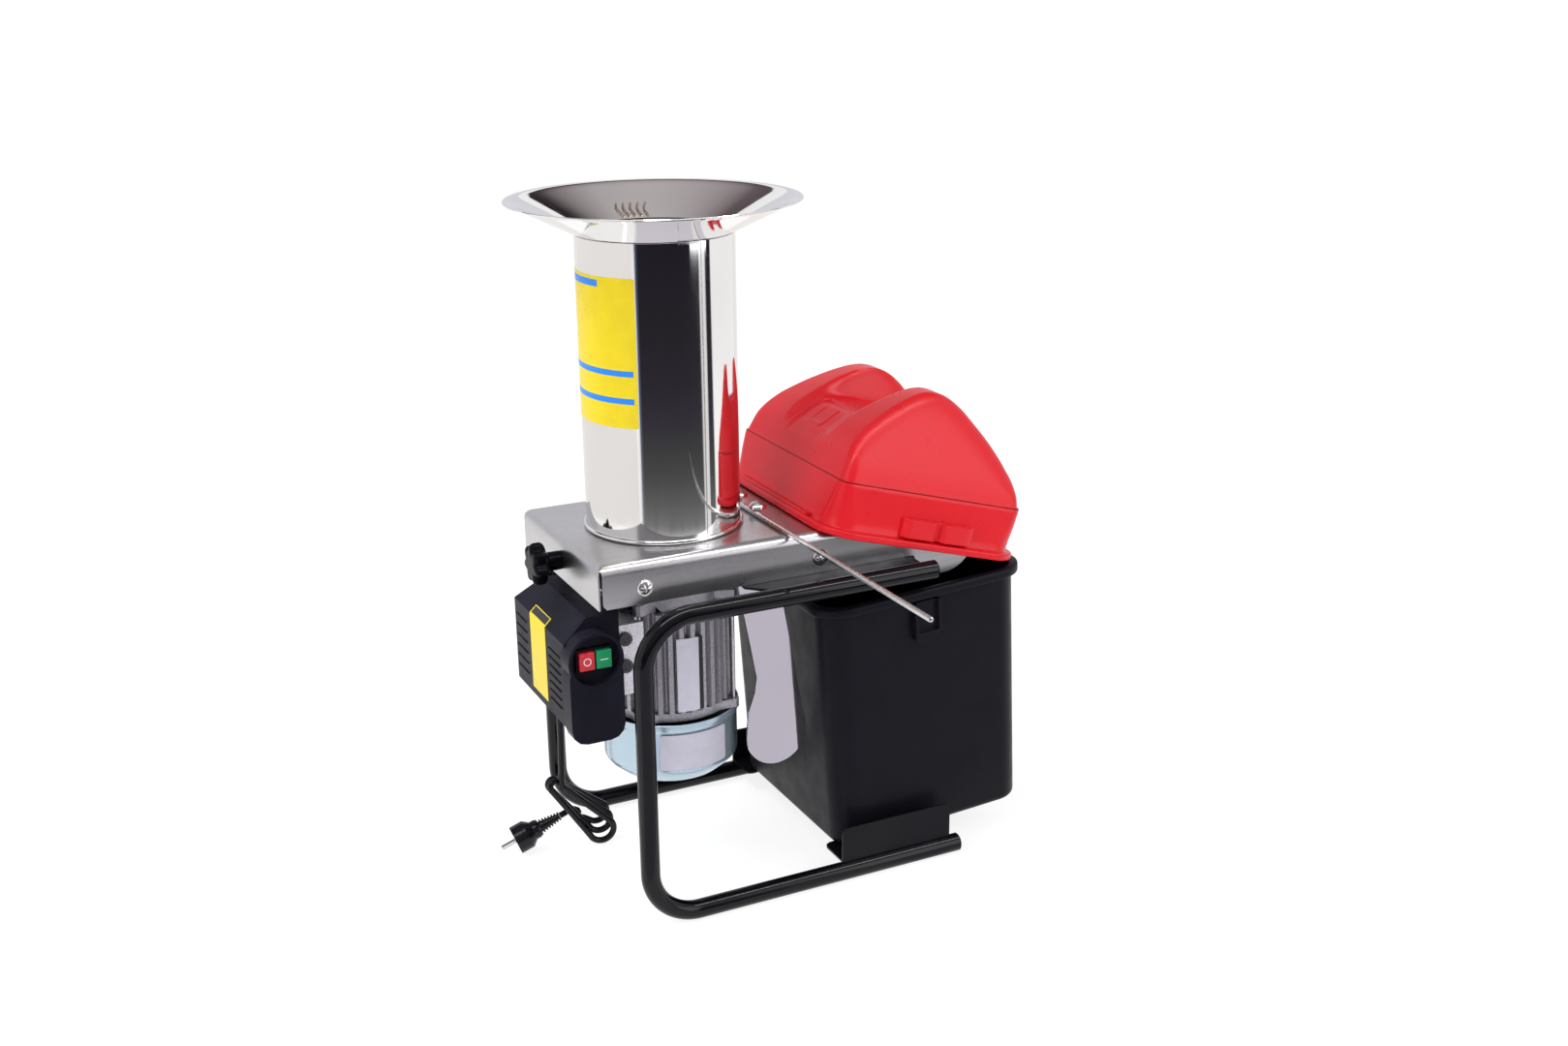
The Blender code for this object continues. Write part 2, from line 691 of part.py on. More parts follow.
def side_bolt(name, side, x, steel):
    """Dome-headed bolt through a chassis wall into the nut welded behind its rail."""
    bm = bmesh.new()
    length = SHEET + 2 * GAP + RAIL_T + NUT_H
    dome = [(BOLT_HEAD_D / 2 * sin(a), BOLT_HEAD_H * cos(a)) for a in span(4, 0.0, pi / 2)]
    dome += [(BOLT_HEAD_D / 2, 0.0), (BOLT_D / 2, 0.0), (BOLT_D / 2, -length), (0.0, -length)]
    turned(bm, dome, 16, along((0, side, 0), (x, side * (CHASSIS_HALF + GAP), BOLT_Z)))
    return publish(name, bm, steel)


def chute_profile(radius, top):
    """Points of the chute's rounded end in X and Z, from its floor round to its top."""
    start = pi + asin((CHUTE_AXIS_Z - CHASSIS_BOTTOM) / radius)
    last = 2 * pi + asin((top - CHUTE_AXIS_Z) / radius)
    return arc((CHUTE_AXIS_X, CHUTE_AXIS_Z), radius, start, last, 16)


def outlet_chute(material):
    """Sheet chute with rounded cheeks that turns the pulp down into the bucket."""
    bm = bmesh.new()
    left = CHASSIS_RIGHT + GAP
    top = CHASSIS_TOP - GAP
    half = CHASSIS_HALF - GAP
    outline = [(left, CHASSIS_BOTTOM)] + chute_profile(CHUTE_R, top) + [(left, top)]
    plate(bm, outline, -half, half, place=upright())
    made = publish("outlet_chute", bm, material)
    room = bmesh.new()
    inner = CHUTE_R - SHEET
    last = asin((top - SHEET - CHUTE_AXIS_Z) / inner)
    bend = arc((CHUTE_AXIS_X, CHUTE_AXIS_Z), inner, CHUTE_TURN, last, 8)
    lip = left + CHUTE_LIP
    below = CHUTE_AXIS_Z - CHUTE_R - SHEET
    mouth = [(left - SHEET, CHASSIS_BOTTOM + SHEET), (lip, CHASSIS_BOTTOM + SHEET), (lip, below), (bend[0][0], below)]
    plate(room, mouth + bend + [(left - SHEET, top - SHEET)], -half + SHEET, half - SHEET, place=upright())
    return boolean(made, room)


def tongue(material):
    """Polished tongue that hangs under the chassis floor between the motor and the bucket."""
    bm = bmesh.new()
    left = [(x, z) for x, z in TONGUE_OUTLINE]
    ball = arc((TONGUE_BALL_X, TONGUE_BALL_Z), TONGUE_BALL_R, radians(175), radians(368), 14)
    top = CHASSIS_BOTTOM - GAP
    left[0] = (left[0][0], top)
    plate(bm, left + ball + [(TONGUE_TOP_X, top)], -TONGUE_T / 2, TONGUE_T / 2, place=upright(TONGUE_Y))
    return publish("tongue_plate", bm, material)


# Hopper

def hopper_tube(material, under):
    """Polished tube whose spigot stands in the chassis mouth."""
    bm = bmesh.new()
    inner = HOPPER_R - HOPPER_WALL
    low = CHASSIS_TOP - SPIGOT_L
    turned(bm, [(inner, low), (HOPPER_R, low), (HOPPER_R, HOPPER_TOP), (inner, HOPPER_TOP)], HOPPER_SIDES)
    return publish("hopper_tube", bm, material, under)


def hopper_rim(material, under):
    """Wide flared rim with a thin lip, on top of the tube."""
    bm = bmesh.new()
    low = HOPPER_TOP + GAP
    top = HOPPER_TOP + RIM_H
    knee = RIM_R - LIP_W
    wall = HOPPER_WALL
    outer = [(HOPPER_R, low), (knee, top - LIP_DROP - wall), (RIM_R, top - wall)]
    inner = [(RIM_R, top), (knee - wall / 2, top - LIP_DROP), (HOPPER_R - wall, low + wall)]
    turned(bm, outer + inner + [(HOPPER_R - wall, low)], HOPPER_SIDES)
    return publish("hopper_rim", bm, material, under)


def foot_ring(material, under):
    """Round bead at the hopper's foot, which carries it on the chassis."""
    bm = bmesh.new()
    inner = HOPPER_R + GAP
    low = CHASSIS_TOP + GAP
    outer = inner + FOOT_W
    crown = [(outer, low), (outer, low + FOOT_H * 0.6), (outer - FOOT_W * 0.35, low + FOOT_H)]
    turned(bm, [(inner, low)] + crown + [(inner, low + FOOT_H)], HOPPER_SIDES)
    return publish("foot_ring", bm, material, under)


# Rotor

def rotor_parts(steel, dark, plastic, under):
    """Shaft with its rotor core, the disc and its welded knives, the nut and the fan."""
    shaft = bmesh.new()
    low = COVER_LOW + COVER_CHAMFER * 2
    step = SHAFT_R * 0.7
    top = DISC_Z + DISC_T + NUT_H + 0.004
    turned(shaft, [(0.0, top), (step - GAP, top), (step - GAP, DISC_Z - GAP), (SHAFT_R, DISC_Z - GAP),
                   (SHAFT_R, low), (0.0, low)], 16)
    publish("motor_shaft", shaft, steel, under)
    middle = (HOUSING_TOP + HOUSING_LOW) / 2
    core = bmesh.new()
    half = STATOR_H / 2
    bore = SHAFT_R + GAP
    turned(core, [(bore, middle - half), (ROTOR_R, middle - half), (ROTOR_R, middle + half), (bore, middle + half)], 24)
    publish("rotor_core", core, dark, under)
    disc = bmesh.new()
    plate(disc, circle(DISC_R, 32), DISC_Z, DISC_Z + DISC_T, [circle(step, 16)])
    knife_disc = publish("knife_disc", disc, steel, under)
    knives = bmesh.new()
    base = DISC_Z + DISC_T / 2
    for angle in span(KNIFE_COUNT, pi / 4):
        turn = Matrix.Rotation(angle, 4, "Z")
        blade = [(KNIFE_IN, base), (KNIFE_IN + KNIFE_L, base), (KNIFE_IN + KNIFE_L, base + KNIFE_H),
                 (KNIFE_IN + KNIFE_L * 0.2, base + KNIFE_H), (KNIFE_IN, base + KNIFE_H * 0.5)]
        plate(knives, blade, -KNIFE_T / 2, KNIFE_T / 2, place=turn @ upright())
    boolean(knife_disc, knives, "UNION", under)
    nut = bmesh.new()
    base = DISC_Z + DISC_T + GAP
    plate(nut, circle(NUT_AF * 0.75, 6), base, base + NUT_H, [circle(step, 16)])
    publish("shaft_nut", nut, steel, under)
    fan = bmesh.new()
    outer = [(bore, low), (bore + 0.008, low), (bore + 0.008, low + FAN_H * 0.75), (FAN_R, low + FAN_H * 0.8),
             (FAN_R, low + FAN_H), (bore, low + FAN_H)]
    turned(fan, outer, 24)
    made = publish("cooling_fan", fan, plastic, under)
    for angle in span(FAN_BLADES):
        blade = bmesh.new()
        block(blade, (bore + 0.006, FAN_R * 0.97), (-0.001, 0.001), (low + FAN_H * 0.1, low + FAN_H * 0.9),
              Matrix.Rotation(angle, 4, "Z"))
        boolean(made, blade, "UNION", under)


# Motor

def lug_outline(radius, bore):
    """A round body with four lugs that carry the tie rods, as one outline."""
    points = []
    half = asin(TIE_LUG_R / radius)
    for middle in (radians(a) for a in TIE_ANGLES):
        points += arc((0.0, 0.0), radius, middle - pi / 4 + TINY, middle - half, 4)[:-1]
        centre = (TIE_R * cos(middle), TIE_R * sin(middle))
        points += arc(centre, TIE_LUG_R, middle - pi / 2, middle + pi / 2, 4)
        points += arc((0.0, 0.0), radius, middle + half, middle + pi / 4 - TINY, 4)[1:-1]
    tie_holes = [circle(TIE_D / 2 + GAP, 8, (TIE_R * cos(radians(a)), TIE_R * sin(radians(a)))) for a in TIE_ANGLES]
    return points, [circle(bore, 24)] + tie_holes


def end_bells(cast):
    """Upper bell that bolts to the chamber floor, and the thin lower bell over the fan."""
    bore = BEARING_R + GAP
    upper = bmesh.new()
    collar = SHAFT_R + RUNNING_GAP
    seat = HOUSING_TOP + BEARING_W + GAP
    flange = BELL_TOP - BELL_H * 0.2
    profile = [(bore, HOUSING_TOP + GAP), (BELL_R * 0.93, HOUSING_TOP + GAP), (BELL_R * 0.93, flange - 0.006),
               (BELL_R, flange), (BELL_R, BELL_TOP), (collar, BELL_TOP), (collar, seat), (bore, seat)]
    turned(upper, profile, 32)
    made = publish("upper_end_bell", upper, cast)
    lugs = bmesh.new()
    outline, holes = lug_outline(BELL_R * 0.86, BELL_R * 0.6)
    plate(lugs, outline, HOUSING_TOP + 2 * GAP, HOUSING_TOP + TIE_LUG_H, holes)
    boolean(made, lugs, "UNION")
    lower = bmesh.new()
    outline, holes = lug_outline(FIN_R - 0.003, bore)
    plate(lower, outline, LOWER_BELL_LOW, LOWER_BELL_LOW + LOWER_BELL_H, holes)
    publish("lower_end_bell", lower, cast)


def stator_housing(aluminium):
    """Finned housing with a groove for each tie rod and a flat towards the terminal pad."""
    points = []
    pitch = 2 * pi / FIN_COUNT
    for i in range(FIN_COUNT):
        middle = i * pitch
        tip = FIN_R
        for radius, offset in ((FIN_ROOT_R, -0.42), (tip, -0.20), (tip, 0.20), (FIN_ROOT_R, 0.42)):
            angle = middle + offset * pitch
            points.append((radius * cos(angle), radius * sin(angle)))
    bm = bmesh.new()
    plate(bm, points, HOUSING_LOW, HOUSING_TOP, [circle(HOUSING_BORE, 32)])
    made = publish("stator_housing", bm, aluminium)
    grooves = bmesh.new()
    for angle in TIE_ANGLES:
        centre = (TIE_R * cos(radians(angle)), TIE_R * sin(radians(angle)))
        plate(grooves, circle(TIE_LUG_R + GAP, 10, centre), HOUSING_LOW - GAP, HOUSING_TOP + GAP)
    return boolean(made, grooves)


def motor_inside(steel, copper):
    """Stator core and the two bearings."""
    middle = (HOUSING_TOP + HOUSING_LOW) / 2
    half = STATOR_H / 2
    outer = HOUSING_BORE - GAP
    core = bmesh.new()
    turned(core, [(STATOR_R_IN, middle - half), (outer, middle - half), (outer, middle + half),
                  (STATOR_R_IN, middle + half)], 32)
    publish("stator_core", core, copper)
    lows = {"upper_bearing": HOUSING_TOP + GAP / 2, "lower_bearing": LOWER_BELL_LOW - GAP / 2}
    heights = {"upper_bearing": BEARING_W, "lower_bearing": LOWER_BELL_H}
    for name, low in lows.items():
        race = bmesh.new()
        bore = SHAFT_R + GAP
        turned(race, [(bore, low), (BEARING_R, low), (BEARING_R, low + heights[name]), (bore, low + heights[name])], 24)
        publish(name, race, steel)


def tie_rod(name, angle, steel):
    """One of the long rods that clamp the two end bells, with its head above the upper lug."""
    bm = bmesh.new()
    low = LOWER_BELL_LOW - GAP
    seat = HOUSING_TOP + TIE_LUG_H + GAP
    head = TIE_D * 0.9
    shank = TIE_D / 2
    top = seat + TIE_HEAD_H
    place = Matrix.Translation((TIE_R * cos(radians(angle)), TIE_R * sin(radians(angle)), 0.0))
    turned(bm, [(0.0, top), (head, top), (head, seat), (shank, seat), (shank, low), (0.0, low)], 8, place)
    return publish(name, bm, steel)


def fan_cover(material):
    """Pressed cover with a band at its mouth, a chamfered foot and slots for the air."""
    bm = bmesh.new()
    band = COVER_TOP - COVER_BAND_H
    body = COVER_R - COVER_T
    foot = COVER_R - COVER_CHAMFER
    outer = [(0.0, COVER_LOW), (foot, COVER_LOW), (body, COVER_LOW + COVER_CHAMFER), (body, band - COVER_T),
             (COVER_R + COVER_T, band), (COVER_R + COVER_T, COVER_TOP)]
    inner = [(COVER_R, COVER_TOP), (COVER_R, band), (body - COVER_T, band - COVER_T),
             (body - COVER_T, COVER_LOW + COVER_CHAMFER), (foot - COVER_T / 2, COVER_LOW + COVER_T),
             (0.0, COVER_LOW + COVER_T)]
    turned(bm, outer + inner, 36)
    made = publish("fan_cover", bm, material)
    slots = bmesh.new()
    for angle in span(8):
        block(slots, (foot * 0.35, foot * 0.85), (-0.0022, 0.0022), (COVER_LOW - COVER_T, COVER_LOW + 2 * COVER_T),
              Matrix.Rotation(angle, 4, "Z"))
    return boolean(made, slots)


def terminal_pad(cast):
    """Cast block on the housing's side, with two round bosses, which carries the switch box."""
    bm = bmesh.new()
    block(bm, (PAD_X, PAD_X + PAD_DEPTH), (-PAD_HALF, PAD_HALF), (PAD_LOW, PAD_LOW + PAD_H - BELL_H * 0.2))
    bevelled(bm, 0.004, 2, lambda a, b: abs(a.x - b.x) + abs(a.z - b.z) < TINY and a.x < PAD_X + TINY)
    made = publish("terminal_pad", bm, cast)
    room = bmesh.new()
    plate(room, circle(FIN_R + GAP, 40), PAD_LOW - BELL_H, PAD_LOW + 2 * PAD_H)
    boolean(made, room)
    grooves = bmesh.new()
    for angle in TIE_ANGLES:
        centre = (TIE_R * cos(radians(angle)), TIE_R * sin(radians(angle)))
        plate(grooves, circle(TIE_LUG_R + GAP, 12, centre), PAD_LOW - BELL_H, PAD_LOW + 2 * PAD_H)
    boolean(made, grooves)
    plugs = bmesh.new()
    x = PAD_X + PAD_PLUG_R + 0.003
    r, h = PAD_PLUG_R, PAD_PLUG_H
    for z in PAD_PLUG_ZS:
        profile = [(0.0, h), (r * 0.8, h), (r, h * 0.6), (r, -h), (0.0, -h)]
        turned(plugs, profile, 16, along((0, -1, 0), (x, -PAD_HALF, z)))
    return boolean(made, plugs, "UNION")


# Switch box

def box_section(inset=0.0):
    """Cross-section of the switch box in X and Z, shrunk by an inset."""
    front = -BOX_BACK - BOX_DEPTH + inset
    back = -BOX_BACK
    low = BOX_LOW + inset
    top = BOX_TOP - inset
    knee = BOX_TOP - BOX_SHOULDER - BOX_CHAMFER - inset / 2
    return [(front, low), (back, low), (back, top), (front + BOX_CHAMFER + BOX_SHOULDER, top),
            (front + BOX_CHAMFER, top - BOX_SHOULDER), (front, knee)]


def head_section(inset=0.0):
    """Rounded outline of the box's lower head in X and Z."""
    middle = HEAD_X
    half = HEAD_WIDTH / 2 - inset
    return rounded((middle - half, middle + half), (HEAD_LOW + inset, HEAD_Z), HEAD_ROUND - inset, 3)


def switch_cover(material):
    """Moulded cover with a round head for the switch and louvres on its front."""
    bm = bmesh.new()
    plate(bm, box_section(), BOX_NEAR, BOX_FAR, place=upright())
    made = publish("switch_cover", bm, material)
    head = bmesh.new()
    plate(head, head_section(), HEAD_NEAR, BOX_NEAR + BOX_WALL, place=upright())
    boolean(made, head, "UNION")
    collar = bmesh.new()
    plate(collar, circle(HEAD_R, 28, (HEAD_X, HEAD_Z)), HEAD_NEAR - GAP, BOX_NEAR + 2 * BOX_WALL, place=upright())
    boolean(made, collar, "UNION")
    corner = bmesh.new()
    far, cut = BOX_FAR, BOX_FAR_CUT
    front = -BOX_BACK - BOX_DEPTH
    wedge = [(far - cut, BOX_TOP + BOX_WALL), (far + BOX_WALL, BOX_TOP - cut * 1.2), (far + BOX_WALL, BOX_TOP + BOX_WALL)]
    sideways = Matrix(((0, 0, 1, 0), (1, 0, 0, 0), (0, 1, 0, 0), (0, 0, 0, 1)))
    plate(corner, wedge, front - BOX_WALL, -BOX_BACK + BOX_WALL, place=sideways)
    boolean(made, corner)
    room = bmesh.new()
    section = [(min(x, -BOX_BACK + GAP) if x < -BOX_BACK - TINY else x + BOX_WALL, z) for x, z in box_section(BOX_WALL)]
    plate(room, section, BOX_NEAR + BOX_WALL, BOX_FAR - BOX_FAR_CUT - BOX_WALL, place=upright())
    boolean(made, room)
    recess = bmesh.new()
    plate(recess, circle(RECESS_R, 28, (HEAD_X, HEAD_Z)), HEAD_NEAR - BOX_WALL, HEAD_NEAR + RECESS_DEPTH, place=upright())
    boolean(made, recess)
    seat = bmesh.new()
    wide, tall = SWITCH_W / 2 + GAP, SWITCH_H / 2 + GAP
    block(seat, (HEAD_X - wide, HEAD_X + wide), (HEAD_NEAR + RECESS_DEPTH / 2, BOX_NEAR + 2 * BOX_WALL),
          (HEAD_Z - tall, HEAD_Z + tall))
    boolean(made, seat)
    return boolean(made, louvres(front))


def louvres(front):
    """Cutter for the two groups of slots in the box's front."""
    bm = bmesh.new()
    for count, middle, pitch in SLOT_COUNTS:
        for i in range(count):
            z = SLOT_LOW + i * pitch
            block(bm, (front - SLOT_DEEP, front + SLOT_DEEP), (middle - SLOT_L / 2, middle + SLOT_L / 2), (z, z + SLOT_T))
    return bm


def switch_parts(dark, red, green, stop_axis, start_axis):
    """Back plate of the box, the switch block and its two buttons."""
    base = bmesh.new()
    block(base, (-BOX_BACK + GAP, PAD_X - GAP), (BOX_NEAR, BOX_FAR - BOX_FAR_CUT), (BOX_LOW, BOX_TOP))
    publish("switch_base", base, dark)
    module = bmesh.new()
    front = HEAD_NEAR + RECESS_DEPTH * 0.6
    wide, tall = SWITCH_W / 2, SWITCH_H / 2
    block(module, (HEAD_X - wide, HEAD_X + wide), (front, front + SWITCH_DEPTH), (HEAD_Z - tall, HEAD_Z + tall))
    made = publish("switch_block", module, dark)
    wells = bmesh.new()
    room = GAP + RUNNING_GAP / 4
    depth = BUTTON_TRAVEL + 0.004
    for side in (-1, 1):
        x = HEAD_X + side * BUTTON_PITCH / 2
        block(wells, (x - BUTTON_W / 2 - room, x + BUTTON_W / 2 + room), (front - room, front + depth),
              (HEAD_Z - BUTTON_H / 2 - room, HEAD_Z + BUTTON_H / 2 + room))
    boolean(made, wells)
    rows = (("stop_button", -1, red, stop_axis), ("start_button", 1, green, start_axis))
    for name, side, colour, axis in rows:
        cap = bmesh.new()
        x = HEAD_X + side * BUTTON_PITCH / 2
        low = front - BUTTON_PROUD
        block(cap, (x - BUTTON_W / 2, x + BUTTON_W / 2), (low, front + 0.0035), (HEAD_Z - BUTTON_H / 2, HEAD_Z + BUTTON_H / 2))
        bevelled(cap, 0.0012, 2, lambda a, b: a.y < low + TINY and b.y < low + TINY)
        publish(name, cap, colour, axis)


# Knob, rod and studs

def star_knob(plastic, steel, under):
    """Star knob with its hub and its threaded stem, which reaches the chamber ring."""
    bm = bmesh.new()
    count = KNOB_LOBES * 6
    face = CHASSIS_LEFT - GAP
    place = along((-1, 0, 0), (face, 0.0, KNOB_Z))
    levels = ((0.0, 0.72), (0.16, 0.93), (0.35, 1.0), (0.72, 1.0), (0.9, 0.93), (1.0, 0.78))
    start = KNOB_HUB_L

    def star(scale, height):
        radii = [scale * (KNOB_R - KNOB_LOBE * (1 - cos(KNOB_LOBES * a))) for a in span(count)]
        return [(r * cos(a), r * sin(a), height) for r, a in zip(radii, span(count))]

    loft(bm, [star(scale, start + KNOB_T * level) for level, scale in levels], place)
    made = publish("star_knob", bm, plastic, under)
    hub = bmesh.new()
    turned(hub, [(0.0, start + KNOB_T / 2), (KNOB_HUB_R, start + KNOB_T / 2), (KNOB_HUB_R, 0.0), (0.0, 0.0)], 24, place)
    boolean(made, hub, "UNION", under)
    socket = bmesh.new()
    reach = STEM_D / 2 + GAP
    turned(socket, [(0.0, start), (reach, start), (reach, -GAP), (0.0, -GAP)], 12, place)
    boolean(made, socket, "DIFFERENCE", under)
    stem = bmesh.new()
    tip = -(CHAMBER_R + SHEET + GAP)
    inside = start - GAP
    turned(stem, [(0.0, inside), (STEM_D / 2, inside), (STEM_D / 2, face - tip), (0.0, face - tip)], 12, place)
    publish("knob_stem", stem, steel, under)


def rod(material, under):
    """Long straight rod that lies across the chassis beside the hopper's foot."""
    bm = bmesh.new()
    length = ROD_INNER_Y - ROD_OUTER_Y
    tip = ROD_R * 0.4
    profile = [(0.0, 0.0), (ROD_R - tip, 0.0), (ROD_R, tip), (ROD_R, length - tip), (ROD_R - tip, length), (0.0, length)]
    heading = (sin(ROD_YAW), -cos(ROD_YAW), 0.0)
    start = (ROD_X - ROD_INNER_Y * tan(ROD_YAW), ROD_INNER_Y, ROD_Z)
    turned(bm, profile[::-1], 12, along(heading, start))
    return publish("cross_rod", bm, material, under)


def rod_stud(name, side, material):
    """Mushroom-headed stud whose head holds the rod down."""
    bm = bmesh.new()
    shoulder = ROD_Z - CHASSIS_TOP + ROD_R + GAP
    top = shoulder + STUD_HEAD_H
    profile = [(0.0, top), (STUD_HEAD_R * 0.55, top - 0.0008), (STUD_HEAD_R * 0.92, top - 0.003), (STUD_HEAD_R, shoulder),
               (STUD_SHANK_R, shoulder), (STUD_SHANK_R, GAP), (0.0, GAP)]
    turned(bm, profile, 16, Matrix.Translation((STUD_X, side * STUD_Y, CHASSIS_TOP)))
    return publish(name, bm, material)


# Bucket

def bucket(material, under):
    """Tapered bucket with a turned-down rim and a latch lug on each long side."""

    def ring(height, grow, radius):
        flare = BUCKET_FLARE * height / BUCKET_H
        out = grow + flare
        outline = rounded((-out, BUCKET_L + out), (-BUCKET_HALF - out, BUCKET_HALF + out), radius + out, 5)
        return [(x, y, height) for x, y in outline]

    wall, corner = BUCKET_WALL, BUCKET_CORNER
    foot = BUCKET_FOOT
    top = BUCKET_H
    rings = [ring(0.0, -foot, corner), ring(foot, 0.0, corner), ring(top - RIM_SKIRT, 0.0, corner),
             ring(top - RIM_SKIRT, RIM_OUT, corner), ring(top, RIM_OUT, corner), ring(top, -wall, corner),
             ring(top - wall, -wall, corner), ring(foot + wall, -wall, corner), ring(wall, -foot - wall, corner)]
    bm = bmesh.new()
    loft(bm, rings)
    made = publish("bucket", bm, material, under, local=True)
    lugs = bmesh.new()
    low = top - RIM_SKIRT - LUG_DROP - LUG_HEIGHT
    for side in (-1, 1):
        wall_y = BUCKET_HALF + BUCKET_FLARE
        across = sorted((side * (wall_y - wall), side * (wall_y + LUG_PROUD)))
        block(lugs, (LUG_ALONG, LUG_ALONG + LUG_W), across, (low, low + LUG_HEIGHT))
    boolean(made, lugs, "UNION", under, local=True)
    return made


# Hood

def smooth(value):
    """Ease from 0 to 1 with level ends."""
    t = min(max(value, 0.0), 1.0)
    return t * t * (3 - 2 * t)


def height_on(line, place):
    """Height at a place along a line of points, straight between them."""
    for (a, low), (b, high) in zip(line, line[1:]):
        if a <= place <= b:
            return low + (high - low) * (place - a) / (b - a)
    return 0.0


def soft_min(a, b):
    """The lesser of two heights, rounded where they meet."""
    share = max(CREST_ROUND - abs(a - b), 0.0) / CREST_ROUND
    return min(a, b) - share * share * CREST_ROUND / 4


def hood_rise(along_it, across, inset):
    """Height of the hood's top over its parting line, from two humps with a saddle between them."""
    hump = height_on(HUMP_LINE, along_it)
    saddle = min(hump, height_on(SADDLE_LINE, along_it))
    ridge = saddle + (hump - saddle) * smooth((abs(across) - VALLEY_HALF) / (HUMP_INNER - VALLEY_HALF))
    face = FACE_SLOPE * (HOOD_HALF - HOOD_TOP_INSET - abs(across))
    foot = FOOT_SLOPE * inset
    return max(min(soft_min(ridge, face), foot), 0.0)


def hood_outline(inset):
    """Outline of the hood, shrunk by an inset, with the same count of points for every inset."""
    radius = max(HOOD_CORNER - inset, 0.006)
    x, y = (inset, HOOD_L - inset), (-HOOD_HALF + inset, HOOD_HALF - inset)
    corners = ((x[1] - radius, y[1] - radius), (x[0] + radius, y[1] - radius), (x[0] + radius, y[0] + radius),
               (x[1] - radius, y[0] + radius))
    points = []
    for i, centre in enumerate(corners):
        turn = arc(centre, radius, i * pi / 2, (i + 1) * pi / 2, 3)
        following = corners[(i + 1) % 4]
        onward = (following[0] + radius * cos((i + 1) * pi / 2), following[1] + radius * sin((i + 1) * pi / 2))
        count = 9 if i % 2 == 0 else 8
        points += turn
        for k in range(1, count):
            share = k / count
            points.append((turn[-1][0] + (onward[0] - turn[-1][0]) * share,
                           turn[-1][1] + (onward[1] - turn[-1][1]) * share))
    return points


def hood(material, under):
    """Two-humped hood with a low wall and a flat flange, moulded as one thin skin."""
    base = HOOD_OVERHANG
    levels = ((0.0, 0.0), (0.0, HOOD_FLANGE_T), (base, HOOD_FLANGE_T), (base + HOOD_DRAFT, PARTING))
    rings = [[(x, y, z) for x, y in hood_outline(inset)] for inset, z in levels]
    for inset in HOOD_INSETS:
        places = hood_outline(HOOD_TOP_INSET + inset)
        rings.append([(x, y, PARTING + hood_rise(x - HOOD_TOP_INSET, y, inset)) for x, y in places])
    bm = bmesh.new()
    loops = [[bm.verts.new(point) for point in ring] for ring in rings]
    for first, second in zip(loops, loops[1:]):
        bridge(bm, first, second)
    bm.faces.new(loops[-1])
    bmesh.ops.triangulate(bm, faces=bm.faces)
    made = publish("hood", bm, material, under, local=True, smooth=40)
    skin = made.modifiers.new("skin", "SOLIDIFY")
    skin.thickness = HOOD_SKIN
    skin.offset = -1.0
    skin.use_even_offset = False
    return boolean(made, hood_clips(), "UNION", under, local=True)


def hood_clips():
    """Bridge-shaped clips on the hood's long walls."""
    bm = bmesh.new()
    profile = [(CLIP_ALONG, 0.0), (CLIP_ALONG + CLIP_L, 0.0), (CLIP_ALONG + CLIP_L - 0.004, CLIP_PROUD * 0.7),
               (CLIP_ALONG + 0.062, CLIP_PROUD * 0.8), (CLIP_ALONG + 0.056, CLIP_PROUD * 0.5),
               (CLIP_ALONG + 0.050, CLIP_PROUD), (CLIP_ALONG + 0.012, CLIP_PROUD)]
    wall = HOOD_HALF - HOOD_OVERHANG
    inside = [(CLIP_ALONG, -HOOD_SKIN * 0.8), (CLIP_ALONG + CLIP_L, -HOOD_SKIN * 0.8)]
    for side in (-1, 1):
        outline = [(x, side * (wall + y)) for x, y in inside + profile[2:]]
        plate(bm, outline, CLIP_LOW, CLIP_LOW + CLIP_HEIGHT)
    return bm


# Cord

def smooth_curve(points, step):
    """Points at an even step along a smooth curve through the given ones, with straight first and last stretches."""
    dense = []
    for p0, p1, p2, p3 in zip(points, points[1:], points[2:], points[3:]):
        for k in range(12):
            t = k / 12
            dense.append(0.5 * ((2 * p1) + (p2 - p0) * t + (2 * p0 - 5 * p1 + 4 * p2 - p3) * t ** 2
                                + (3 * p1 - p0 - 3 * p2 + p3) * t ** 3))
    dense.append(points[-2])
    total = sum((after - before).length for before, after in zip(dense, dense[1:]))
    spacing = total / max(round(total / step), 1)
    picked = [points[0], dense[0]]
    travelled = 0.0
    for before, after in zip(dense, dense[1:-1]):
        travelled += (after - before).length
        if travelled >= spacing:
            picked.append(after)
            travelled -= spacing
    if (picked[-1] - dense[-1]).length < step / 2:
        picked.pop()
    return picked + [dense[-1], points[-1]]


def loop_place(step, big, small, reach):
    """Place in the plane of a loop that runs round a small end and a big end, at a step of its turn."""
    tangent = acos((big - small) / reach)
    side = (cos(tangent), sin(tangent))
    run = LOOP_STEPS / 6
    bend = LOOP_STEPS / 3
    step = step % LOOP_STEPS
    near = (small * side[0], small * side[1])
    far = (reach + big * side[0], big * side[1])
    if step <= run:
        share = step / run
        return near[0] + (far[0] - near[0]) * share, near[1] + (far[1] - near[1]) * share
    if step <= run + bend:
        angle = tangent - 2 * tangent * (step - run) / bend
        return reach + big * cos(angle), big * sin(angle)
    if step <= 2 * run + bend:
        share = (step - run - bend) / run
        return far[0] + (near[0] - far[0]) * share, -far[1] - (near[1] - far[1]) * share
    angle = -tangent - (2 * pi - 2 * tangent) * (step - 2 * run - bend) / bend
    return small * cos(angle), small * sin(angle)


